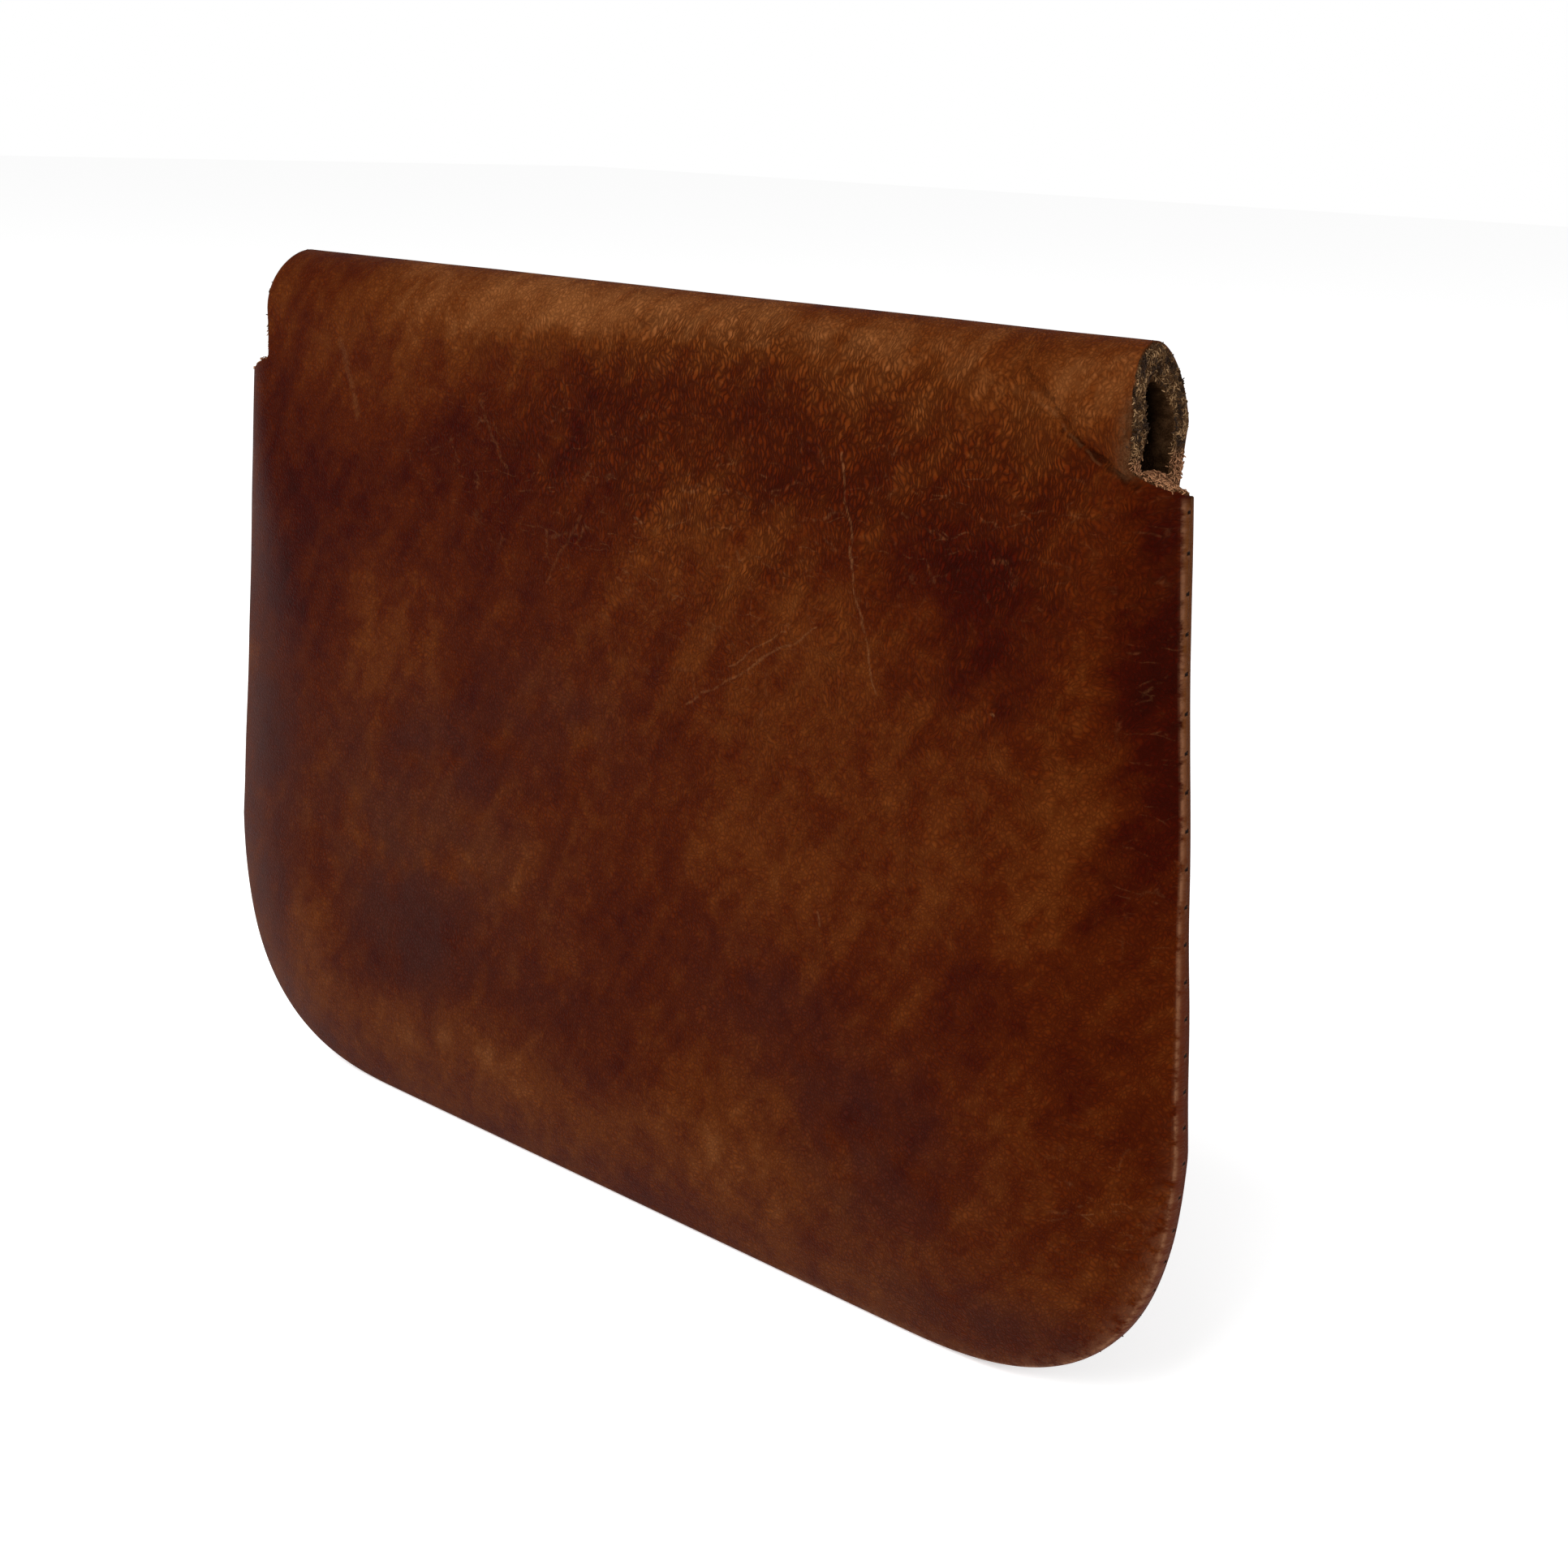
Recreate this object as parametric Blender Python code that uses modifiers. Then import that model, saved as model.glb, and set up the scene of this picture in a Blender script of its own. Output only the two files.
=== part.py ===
"""A flat leather coin purse: a back panel that folds over the top into a flap,
a pocket panel sewn to it with a turned seam, and a snap fastener.

Metres, +Z up. X runs along the fold, the plain back faces -Y and the flap +Y.
Run with: blender --background --python part.py
"""

from math import cos, pi, radians, sin, sqrt

import bmesh
import bpy

MM = 0.001

# Leather and outline
LEATHER = 1.3 * MM
HALF_WIDTH = 55.0 * MM
SHOULDER_HALF_WIDTH = 49.9 * MM
CORNER = 23.8 * MM
CORNER_POWER = 2.7
SHOULDER_LEFT = 69.2 * MM
SHOULDER_RIGHT = 71.5 * MM
TOP = 81.1 * MM
SEAM_Y = -2.15 * MM

# Fold over the top
FOLD_LEFT = -44.3 * MM
FOLD_RIGHT = 47.4 * MM
FOLD_HALF_DEPTH = 3.75 * MM
FOLD_BASE = 75.6 * MM
HINGE_ANGLE = radians(40)
CUT_ANGLE = radians(2.2)

# Turned seam
SEAM_GAP = 0.15 * MM
EDGE_ROLL = 0.8 * MM
EDGE_DEPTH = 1.0 * MM
ALLOWANCE = 3.2 * MM
THREAD_INSET = 1.6 * MM
THREAD_RADIUS = 0.25 * MM
THREAD_CHANNEL = 0.55 * MM
THREAD_TOP = 66.0 * MM

# Swell of the two panels, as half-depths from the seam plane
BACK_SWELL = 4.8 * MM
SWELL_SPREAD = 16.0 * MM
BACK_FLAT_TOP = 56.0 * MM
SPREAD_AT_RIGHT_SHOULDER = 3.0 * MM
SPREAD_AT_LEFT_SHOULDER = 5.6 * MM
SPREAD_RISE = 30.0 * MM
SPREAD_AT_MOUTH = 5.0 * MM
FRONT_SWELL = 3.9 * MM
FRONT_AT_SNAP = 2.6 * MM
FRONT_AT_MOUTH = 2.55 * MM
FRONT_SWELL_TOP = 24.0 * MM
SNAP_FLAT_LOW = 38.0 * MM
SNAP_FLAT_TOP = 48.0 * MM
MOUTH_FLAT_LOW = 68.0 * MM
MOUTH_DROP = 0.4 * MM
MOUTH_DIP = 3.0 * MM

# Flap
FLAP_TIP = 31.0 * MM
FLAP_STAND_OFF = 5.7 * MM
FLAP_SETTLED = 47.0 * MM
FLAP_TAPER = 3.5 * MM
FLAP_CORNER = 26.0 * MM
FLAP_CORNER_POWER = 2.3
FLAP_HEIGHTS = [75.6, 72, 68, 64, 60, 56, 52, 49, 46, 43, 40, 37, 34.5, 33, 32, 31.3, 31]
FLAP_INSETS = [0.0, 5.0, 12.0, 20.0]

# Snap fastener, measured along Y from the seam plane
SNAP_X = (FOLD_LEFT + FOLD_RIGHT) / 2
SNAP_Z = 43.0 * MM
SNAP_SEGMENTS = 28
CLEARANCE = 0.3 * MM
POST_SHANK = 1.4 * MM
CAP_SHANK = 1.5 * MM
FLAP_HOLE = 1.9 * MM
FRONT_HOLE = 1.75 * MM
SNAP_PLATE = 0.4 * MM
STUD_FOOT_RADIUS = 4.6 * MM
POST_RADIUS = 4.4 * MM
POST_PLATE = 0.6 * MM
SPRING_RADIUS = 2.72 * MM
SPRING_WIRE = 0.28 * MM

# Turned profiles in millimetres: the cap's crown as (radius, rise), then the socket's section
CROWN = [(6.2, 0.0), (6.2, 0.35), (5.7, 0.85), (4.6, 1.3), (3.2, 1.6), (1.6, 1.75), (0.0, 1.8)]
SOCKET = [(2.5, 0.0), (4.6, 0.0), (5.0, 0.3), (5.0, 1.1), (4.4, 1.65), (1.85, 1.65)]
SOCKET += [(1.85, 1.35), (2.5, 1.35), (2.5, 1.2), (3.35, 1.2), (3.35, 0.25), (2.5, 0.25)]
SOCKET_HEIGHT = 1.65
STUD_TIP = [(1.98, 0.4), (1.98, 0.8), (2.12, 1.2), (2.0, 1.6), (1.7, 1.75)]

# Rows and columns of the leather's meshes, in millimetres
EDGE_INSETS = [0.0, 0.25, 0.8, 2.0, 3.1, 3.3, 5.5, 9.0, 13.0, 17.0]
BODY_HEIGHTS = [0, 0.25, 0.8, 2, 3.1, 3.3, 5.5, 9, 13, 17, 22, 27, 32, 38, 44, 50, 56, 62, 66]
SHOULDER_HEIGHTS = [69, 71.5, 73.5, 75.6]
MIDDLE_COLUMNS = 9
ARCH_STEPS = 4
FOLD_ROWS = 10
FOLD_COLUMNS = 12
CORNER_TURNS = 12
SIDE_STEPS = 8
CUTTER_REACH = 20.0 * MM


def clear_scene():
    for thing in list(bpy.data.objects):
        bpy.data.objects.remove(thing)


def make_collection(name):
    collection = bpy.data.collections.new(name)
    bpy.context.scene.collection.children.link(collection)
    return collection


def make_material(name, color, roughness, metallic=0.0):
    material = bpy.data.materials.new(name)
    material.use_nodes = True
    shader = material.node_tree.nodes["Principled BSDF"]
    shader.inputs["Base Color"].default_value = (*color, 1.0)
    shader.inputs["Roughness"].default_value = roughness
    shader.inputs["Metallic"].default_value = metallic
    return material


def smoothstep(t):
    t = min(max(t, 0.0), 1.0)
    return t * t * (3.0 - 2.0 * t)


def blend(a, b, t):
    return a + (b - a) * t


def object_from_bmesh(name, shape, collection, material=None):
    mesh = bpy.data.meshes.new(name)
    shape.to_mesh(mesh)
    shape.free()
    mesh.shade_smooth()
    mesh.set_sharp_from_angle(angle=radians(40))
    thing = bpy.data.objects.new(name, mesh)
    collection.objects.link(thing)
    if material:
        mesh.materials.append(material)
    return thing


def loft_sheet(name, outer, inner, columns, rows, collection, material, origin=(0, 0, 0)):
    """A closed sheet between two surfaces, each a function of column and row to (x, y, z)."""
    shape = bmesh.new()
    layers = []
    for surface in (outer, inner):
        grid = []
        for row in rows:
            line = []
            for column in columns:
                x, y, z = surface(column, row)
                place = (x - origin[0], SEAM_Y + y - origin[1], z - origin[2])
                line.append(shape.verts.new(place))
            grid.append(line)
        layers.append(grid)
    last_row = len(rows) - 1
    last_column = len(columns) - 1
    for layer in layers:
        for j in range(last_row):
            for i in range(last_column):
                corners = (layer[j][i], layer[j][i + 1], layer[j + 1][i + 1], layer[j + 1][i])
                shape.faces.new(corners)
    near, far = layers
    for i in range(last_column):
        for j in (0, last_row):
            shape.faces.new((near[j][i], near[j][i + 1], far[j][i + 1], far[j][i]))
    for j in range(last_row):
        for i in (0, last_column):
            shape.faces.new((near[j][i], near[j + 1][i], far[j + 1][i], far[j][i]))
    bmesh.ops.recalc_face_normals(shape, faces=shape.faces)
    sheet = object_from_bmesh(name, shape, collection, material)
    sheet.location = origin
    return sheet


def side_line(z):
    """Half-width of the body's tapering side, before the bottom corner is rounded."""
    rise = max(0.0, z - CORNER) / (SHOULDER_RIGHT - CORNER)
    return HALF_WIDTH - (HALF_WIDTH - SHOULDER_HALF_WIDTH) * rise


def half_width(z, inset=0.0):
    """Half-width of the body at a height, or of the same outline moved inwards."""
    radius = CORNER - inset
    drop = min(max((CORNER - z) / radius, 0.0), 1.0)
    reach = (1.0 - drop**CORNER_POWER) ** (1.0 / CORNER_POWER)
    return side_line(z) - CORNER + radius * reach


def edge_distance(x, z):
    """How far a point lies inside the outline."""
    across = max(0.0, abs(x) - (side_line(z) - CORNER)) / CORNER
    down = max(0.0, CORNER - z) / CORNER
    reach = (across**CORNER_POWER + down**CORNER_POWER) ** (1.0 / CORNER_POWER)
    return CORNER * (1.0 - reach)


def rolled_edge(distance):
    t = 1.0 - min(distance / EDGE_ROLL, 1.0)
    return SEAM_GAP + (EDGE_DEPTH - SEAM_GAP) * sqrt(max(0.0, 1.0 - t * t))


def swollen(distance, middle, spread):
    """Half-depth of a panel at a distance from its seam."""
    t = min(max(distance, 0.0) / spread, 1.0)
    return rolled_edge(distance) + (middle - EDGE_DEPTH) * (1.0 - (1.0 - t) ** 2)


def back_depth(x, z):
    near_shoulder = SPREAD_AT_RIGHT_SHOULDER if x > 0 else SPREAD_AT_LEFT_SHOULDER
    spread = blend(near_shoulder, SWELL_SPREAD, smoothstep((SHOULDER_RIGHT - z) / SPREAD_RISE))
    climb = smoothstep((z - BACK_FLAT_TOP) / (FOLD_BASE - BACK_FLAT_TOP))
    return swollen(edge_distance(x, z), blend(BACK_SWELL, FOLD_HALF_DEPTH, climb), spread)


def front_depth(x, z):
    spread = blend(SPREAD_AT_MOUTH, SWELL_SPREAD, smoothstep((SHOULDER_LEFT - z) / SPREAD_RISE))
    to_snap = smoothstep((z - FRONT_SWELL_TOP) / (SNAP_FLAT_LOW - FRONT_SWELL_TOP))
    to_mouth = smoothstep((z - SNAP_FLAT_TOP) / (MOUTH_FLAT_LOW - SNAP_FLAT_TOP))
    middle = blend(blend(FRONT_SWELL, FRONT_AT_SNAP, to_snap), FRONT_AT_MOUTH, to_mouth)
    return swollen(edge_distance(x, z), middle, spread)


def inner_depth(depth, x, z, seam_top):
    """Half-depth of a panel's inside: solid to the seam plane where the allowance is turned in."""
    sewn = edge_distance(x, z) < ALLOWANCE and z < seam_top
    return SEAM_GAP if sewn else max(SEAM_GAP, depth - LEATHER)


def mirrored_columns(insets):
    """Columns from -1 to 1, closer together at the given insets from each side."""
    edge = [1.0 - inset * MM / HALF_WIDTH for inset in insets]
    step = 2 * edge[-1] / (MIDDLE_COLUMNS + 1)
    middle = [edge[-1] - step * (k + 1) for k in range(MIDDLE_COLUMNS)]
    return [-t for t in edge] + sorted(middle) + sorted(edge)


def fold_point(angle, x, inside):
    """A point of the arch over the top; the angle runs from the back (0) to the flap (pi)."""
    depth = FOLD_HALF_DEPTH - (LEATHER if inside else 0.0)
    height = TOP - FOLD_BASE - (LEATHER if inside else 0.0)
    return (x, -depth * cos(angle), FOLD_BASE + height * sin(angle))


def fold_x(column):
    return blend(FOLD_LEFT, FOLD_RIGHT, (column + 1.0) / 2.0)


def hinge_place(angle):
    """Where a fold line meets the leather's outside, in the middle of the fold's length."""
    x, y, z = fold_point(angle, SNAP_X, inside=False)
    return (x, SEAM_Y + y, z)


def build_back_panel(collection, leather):
    """The plain back, cut away at both shoulders where the side seams end."""
    flat_rows = [("body", z * MM) for z in BODY_HEIGHTS + SHOULDER_HEIGHTS]
    last = HINGE_ANGLE - CUT_ANGLE
    rows = flat_rows + [("arch", last * (k + 1) / ARCH_STEPS) for k in range(ARCH_STEPS)]

    def side(column, row, inside):
        kind, place = row
        if kind == "arch":
            return fold_point(place, column * half_width(FOLD_BASE), inside)
        x = column * half_width(place)
        depth = back_depth(x, place)
        if inside:
            depth = inner_depth(depth, x, place, SHOULDER_LEFT)
        return (x, -depth, place)

    outer = lambda column, row: side(column, row, False)
    inner = lambda column, row: side(column, row, True)
    columns = mirrored_columns(EDGE_INSETS)
    return loft_sheet("back_panel", outer, inner, columns, rows, collection, leather)


def build_front_panel(collection, leather):
    """The pocket's front, whose open top edge lies just under the shoulders."""
    def side(column, share, inside):
        right = (column + 1.0) / 2.0
        mouth = blend(SHOULDER_LEFT, SHOULDER_RIGHT, right) - MOUTH_DROP
        mouth -= MOUTH_DIP * (1.0 - column * column)
        z = share * mouth
        x = column * half_width(z)
        depth = front_depth(x, z)
        if inside:
            depth = inner_depth(depth, x, z, THREAD_TOP)
        return (x, depth, z)

    shares = [z / BODY_HEIGHTS[-1] for z in BODY_HEIGHTS]
    outer = lambda column, share: side(column, share, False)
    inner = lambda column, share: side(column, share, True)
    columns = mirrored_columns(EDGE_INSETS)
    return loft_sheet("front_panel", outer, inner, columns, shares, collection, leather)


def build_fold_strip(collection, leather):
    """The stretch of leather over the top, which bends at a line on each side."""
    first = HINGE_ANGLE + CUT_ANGLE
    last = pi - first
    rows = [blend(first, last, k / FOLD_ROWS) for k in range(FOLD_ROWS + 1)]
    columns = [blend(-1.0, 1.0, k / FOLD_COLUMNS) for k in range(FOLD_COLUMNS + 1)]
    outer = lambda column, angle: fold_point(angle, fold_x(column), False)
    inner = lambda column, angle: fold_point(angle, fold_x(column), True)
    origin = hinge_place(HINGE_ANGLE)
    return loft_sheet("fold_strip", outer, inner, columns, rows, collection, leather, origin)


def flap_depth(z):
    """Half-depth of the flap's inside: it hangs from the fold and stands off at the snap."""
    settled = smoothstep((FOLD_BASE - z) / (FOLD_BASE - FLAP_SETTLED))
    return blend(FOLD_HALF_DEPTH - LEATHER, FLAP_STAND_OFF, settled)


def flap_x(column, z):
    """The flap narrows a little downwards and ends in two large round corners."""
    drop = (FOLD_BASE - z) / (FOLD_BASE - FLAP_TIP)
    half = (FOLD_RIGHT - FOLD_LEFT) / 2 - FLAP_TAPER * drop
    low = min(max((FLAP_TIP + FLAP_CORNER - z) / FLAP_CORNER, 0.0), 1.0)
    reach = (1.0 - low**FLAP_CORNER_POWER) ** (1.0 / FLAP_CORNER_POWER)
    return SNAP_X + column * (half - FLAP_CORNER + FLAP_CORNER * reach)


def build_flap(collection, leather):
    first = HINGE_ANGLE - CUT_ANGLE
    arch = [("arch", pi - blend(first, 0.0, k / ARCH_STEPS)) for k in range(ARCH_STEPS)]
    rows = arch + [("flap", z * MM) for z in FLAP_HEIGHTS]
    columns = mirrored_columns(FLAP_INSETS)

    def side(column, row, inside):
        kind, place = row
        if kind == "arch":
            return fold_point(place, fold_x(column), inside)
        depth = flap_depth(place) + (0.0 if inside else LEATHER)
        return (flap_x(column, place), depth, place)

    outer = lambda column, row: side(column, row, False)
    inner = lambda column, row: side(column, row, True)
    origin = hinge_place(pi - HINGE_ANGLE)
    return loft_sheet("flap", outer, inner, columns, rows, collection, leather, origin)


def seam_route():
    """Points of the seam's thread, from the left shoulder round the bottom to the right one."""
    side_heights = [blend(THREAD_TOP, CORNER, k / SIDE_STEPS) for k in range(SIDE_STEPS + 1)]
    right = [(half_width(z, THREAD_INSET), z) for z in side_heights]
    radius = CORNER - THREAD_INSET
    for k in range(1, CORNER_TURNS + 1):
        angle = pi / 2 * k / CORNER_TURNS
        across = radius * cos(angle) ** (2 / CORNER_POWER) if k < CORNER_TURNS else 0.0
        down = radius * sin(angle) ** (2 / CORNER_POWER)
        right.append((HALF_WIDTH - CORNER + across, CORNER - down))
    left = [(-x, z) for x, z in right]
    return left + right[::-1]


def build_tube(name, radius, collection):
    data = bpy.data.curves.new(name, "CURVE")
    data.dimensions = "3D"
    data.bevel_depth = radius
    data.bevel_resolution = 2
    data.use_fill_caps = True
    route = seam_route()
    spline = data.splines.new("POLY")
    spline.points.add(len(route) - 1)
    for point, (x, z) in zip(spline.points, route):
        point.co = (x, SEAM_Y, z, 1.0)
    tube = bpy.data.objects.new(name, data)
    collection.objects.link(tube)
    return tube


def as_mesh(thing, collection):
    """A curve object made a closed mesh object of the same name."""
    bpy.context.view_layer.update()
    graph = bpy.context.evaluated_depsgraph_get()
    mesh = bpy.data.meshes.new_from_object(thing.evaluated_get(graph))
    shape = bmesh.new()
    shape.from_mesh(mesh)
    bmesh.ops.remove_doubles(shape, verts=shape.verts, dist=1e-6)
    bmesh.ops.recalc_face_normals(shape, faces=shape.faces)
    shape.to_mesh(mesh)
    shape.free()
    name = thing.name
    solid = bpy.data.objects.new(name + "_mesh", mesh)
    solid.matrix_world = thing.matrix_world
    collection.objects.link(solid)
    bpy.data.objects.remove(thing)
    solid.name = name
    return solid


def build_turned(name, profile, collection, material):
    """A turned piece on the snap's axis; the profile is (radius, depth) pairs, depth along Y."""
    shape = bmesh.new()
    verts = [shape.verts.new((radius, 0.0, depth)) for radius, depth in profile]
    for a, b in zip(verts, verts[1:] + verts[:1]):
        if a.co.x > 0 or b.co.x > 0:
            shape.edges.new((a, b))
    piece = object_from_bmesh(name, shape, collection, material)
    piece.location = (SNAP_X, SEAM_Y, SNAP_Z)
    piece.rotation_euler = (radians(-90), 0, 0)
    screw = piece.modifiers.new("turn", "SCREW")
    screw.steps = SNAP_SEGMENTS
    screw.render_steps = SNAP_SEGMENTS
    screw.use_merge_vertices = True
    screw.merge_threshold = 1e-6
    return piece


def in_metres(profile, depth):
    """A profile in millimetres, made metres and set at a depth."""
    return [(radius * MM, depth + rise * MM) for radius, rise in profile]


def build_snap(collection, brass, steel):
    """Cap and socket on the flap, with the socket's ring spring; stud and post on the pocket."""
    stud_foot = FRONT_AT_SNAP + CLEARANCE
    stud_plate = stud_foot + SNAP_PLATE
    socket_low = stud_plate + CLEARANCE
    socket_high = FLAP_STAND_OFF - CLEARANCE
    cap_low = FLAP_STAND_OFF + LEATHER + CLEARANCE

    cap = [(0.0, socket_high), (CAP_SHANK, socket_high), (CAP_SHANK, cap_low)]
    build_turned("snap_cap", (cap + in_metres(CROWN, cap_low))[::-1], collection, brass)

    stretch = (socket_high - socket_low) / (SOCKET_HEIGHT * MM)
    socket = [(radius, rise * stretch) for radius, rise in SOCKET]
    build_turned("snap_socket", in_metres(socket, socket_low)[::-1], collection, brass)

    groove = [rise for radius, rise in socket if radius > 3.3 and radius < 3.4]
    middle = socket_low + sum(groove) / len(groove) * MM
    turns = [2 * pi * k / 8 for k in range(8)]
    ring = [(SPRING_RADIUS + SPRING_WIRE * cos(a), middle + SPRING_WIRE * sin(a)) for a in turns]
    build_turned("snap_spring", ring[::-1], collection, steel)

    tip = in_metres(STUD_TIP, stud_foot)
    ceiling = tip[-1][1] - CLEARANCE
    stud = [(FRONT_HOLE, stud_foot), (STUD_FOOT_RADIUS, stud_foot), (STUD_FOOT_RADIUS, stud_plate)]
    stud += tip + [(0.0, tip[-1][1]), (0.0, ceiling), (FRONT_HOLE, ceiling)]
    build_turned("snap_stud", stud[::-1], collection, brass)

    inside = FRONT_AT_SNAP - LEATHER - CLEARANCE
    low = inside - POST_PLATE
    rim = 0.2 * MM
    post = [(0.0, low), (POST_RADIUS - rim, low + rim / 2), (POST_RADIUS, inside - rim)]
    post += [(POST_RADIUS - rim, inside), (POST_SHANK, inside)]
    post += [(POST_SHANK, ceiling - CLEARANCE), (0.0, ceiling - CLEARANCE)]
    build_turned("snap_post", post[::-1], collection, brass)


def add_cutter_box(name, low, high, collection):
    shape = bmesh.new()
    bmesh.ops.create_cube(shape, size=1.0)
    for vert in shape.verts:
        for axis in range(3):
            vert.co[axis] = blend(low[axis], high[axis], vert.co[axis] + 0.5)
    return as_cutter(object_from_bmesh(name, shape, collection))


def add_cutter_rod(name, radius, collection):
    shape = bmesh.new()
    bmesh.ops.create_cone(
        shape,
        cap_ends=True,
        segments=SNAP_SEGMENTS,
        radius1=radius,
        radius2=radius,
        depth=1.5 * CUTTER_REACH,
    )
    rod = object_from_bmesh(name, shape, collection)
    rod.location = (SNAP_X, SEAM_Y, SNAP_Z)
    rod.rotation_euler = (radians(-90), 0, 0)
    return as_cutter(rod)


def as_cutter(thing):
    thing.hide_render = True
    thing.display_type = "WIRE"
    return thing


def cut(thing, cutter):
    boolean = thing.modifiers.new(cutter.name, "BOOLEAN")
    boolean.operation = "DIFFERENCE"
    boolean.solver = "EXACT"
    boolean.object = cutter


def main():
    clear_scene()
    parts = make_collection("coin_purse")
    cutters = make_collection("cutters")
    leather = make_material("brown_leather", (0.11, 0.024, 0.004), 0.45)
    thread_finish = make_material("brown_thread", (0.06, 0.015, 0.004), 0.8)
    brass = make_material("aged_brass", (0.42, 0.27, 0.11), 0.35, 1.0)
    steel = make_material("spring_steel", (0.5, 0.5, 0.5), 0.3, 1.0)

    back = build_back_panel(parts, leather)
    front = build_front_panel(parts, leather)
    build_fold_strip(parts, leather)
    flap = build_flap(parts, leather)

    thread = as_mesh(build_tube("seam_thread", THREAD_RADIUS, parts), parts)
    thread.data.materials.append(thread_finish)
    channel = as_cutter(as_mesh(build_tube("thread_channel", THREAD_CHANNEL, cutters), cutters))
    cut(back, channel)
    cut(front, channel)

    left_low = (-HALF_WIDTH - CUTTER_REACH, -CUTTER_REACH, SHOULDER_LEFT)
    left_high = (FOLD_LEFT, CUTTER_REACH, TOP + CUTTER_REACH)
    cut(back, add_cutter_box("left_notch", left_low, left_high, cutters))
    right_low = (FOLD_RIGHT, -CUTTER_REACH, SHOULDER_RIGHT)
    right_high = (HALF_WIDTH + CUTTER_REACH, CUTTER_REACH, TOP + CUTTER_REACH)
    cut(back, add_cutter_box("right_notch", right_low, right_high, cutters))

    build_snap(parts, brass, steel)
    cut(front, add_cutter_rod("front_hole", FRONT_HOLE, cutters))
    cut(flap, add_cutter_rod("flap_hole", FLAP_HOLE, cutters))


main()
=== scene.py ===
from math import cos, pi, radians, sin

import bmesh
import bpy
import numpy as np
from mathutils import Matrix, Vector, noise


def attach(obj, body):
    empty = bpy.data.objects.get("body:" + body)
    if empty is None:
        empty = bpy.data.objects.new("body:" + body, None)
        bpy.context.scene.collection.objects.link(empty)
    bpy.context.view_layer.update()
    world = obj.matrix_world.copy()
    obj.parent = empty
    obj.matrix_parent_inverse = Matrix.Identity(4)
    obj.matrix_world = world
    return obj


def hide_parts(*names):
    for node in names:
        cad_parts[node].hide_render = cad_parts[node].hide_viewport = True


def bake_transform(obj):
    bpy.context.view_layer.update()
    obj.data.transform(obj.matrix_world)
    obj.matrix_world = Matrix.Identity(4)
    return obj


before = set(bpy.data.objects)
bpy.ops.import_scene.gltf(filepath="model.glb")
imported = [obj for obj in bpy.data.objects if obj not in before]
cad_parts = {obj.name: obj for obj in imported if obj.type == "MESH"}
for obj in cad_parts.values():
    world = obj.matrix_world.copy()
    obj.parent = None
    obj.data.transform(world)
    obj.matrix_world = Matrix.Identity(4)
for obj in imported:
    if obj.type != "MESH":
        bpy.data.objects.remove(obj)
noise.seed_set(7)  # torn edges come out the same on every run
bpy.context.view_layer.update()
mm = 0.001

# what the whole purse shares, in mm; depth is measured from the seam's plane, + towards the flap
purse = {
    "leather": 1.3,
    "halfWidth": 55.0,
    "shoulderHalf": 49.9,
    "corner": 23.8,
    "cornerPower": 2.7,
    "leftShoulder": 69.3,
    "rightShoulder": 71.6,
    "leftCut": 71.2,  # where the sloping shoulder cut meets the fold
    "rightCut": 72.5,
    "seamY": -2.15,
    "foldLeft": -44.3,
    "foldRight": 47.4,
    "foldHalfDepth": 3.75,
    "foldBase": 75.6,
    "foldRise": 5.5,
    "bunched": 2.7,  # the leather is crowded inside the top of the fold
    "leftLean": 1.7,
    "rightLean": 1.0,
    "edgeDepth": 1.0,
    "edgeRoll": 0.8,
    "stripHalf": 0.25,
    "seamPlane": 0.002,
    "allowance": 2.6,
}
mouth = {"left": 68.8, "right": 71.1, "dip": 3.0}
snapPlace = {"x": (purse["foldLeft"] + purse["foldRight"]) / 2, "z": 43.0}


def smooth(t):
    t = np.clip(t, 0.0, 1.0)
    return t * t * (3.0 - 2.0 * t)


def mix(a, b, t):
    return a + (b - a) * t


def sideLine(z):
    rise = np.maximum(0.0, z - purse["corner"]) / (71.5 - purse["corner"])
    return purse["halfWidth"] - (purse["halfWidth"] - purse["shoulderHalf"]) * rise


def halfWidth(z):
    drop = np.clip((purse["corner"] - z) / purse["corner"], 0.0, 1.0)
    power = purse["cornerPower"]
    reach = (1.0 - drop**power) ** (1.0 / power)
    return sideLine(z) - purse["corner"] + purse["corner"] * reach


def edgeDistance(x, z):
    corner, power = purse["corner"], purse["cornerPower"]
    across = np.maximum(0.0, np.abs(x) - (sideLine(z) - corner)) / corner
    down = np.maximum(0.0, corner - z) / corner
    return corner * (1.0 - (across**power + down**power) ** (1.0 / power))


# Half-depth of the turned edge; a higher squareness gives a flatter side and a crisper arris.
def rolledEdge(distance, squareness, depth):
    t = 1.0 - np.clip(distance / (purse["edgeRoll"] * depth), 0.0, 1.0)
    roll = (1.0 - t**squareness) ** (1.0 / squareness)
    return np.maximum(purse["stripHalf"], depth * roll)


def swollen(distance, middle, spread, squareness, depth):
    t = np.clip(distance / spread, 0.0, 1.0)
    return rolledEdge(distance, squareness, depth) + (middle - depth) * (1 - (1 - t) ** 2)


def backDepth(x, z):
    near = np.where(x > 0, 3.0, 5.6)
    spread = mix(near, 16.0, smooth((71.5 - z) / 30.0))
    climb = smooth((z - 56.0) / (purse["foldBase"] - 56.0))
    edgeDepth = mix(purse["edgeDepth"], 0.52, smooth((z - 28.0) / 24.0) * (x > 0))
    depth = swollen(edgeDistance(x, z), mix(4.8, purse["foldHalfDepth"], climb), spread, 3.4, edgeDepth)
    return mix(depth, purse["foldHalfDepth"], smooth((z - 72.4) / 3.2))


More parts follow.
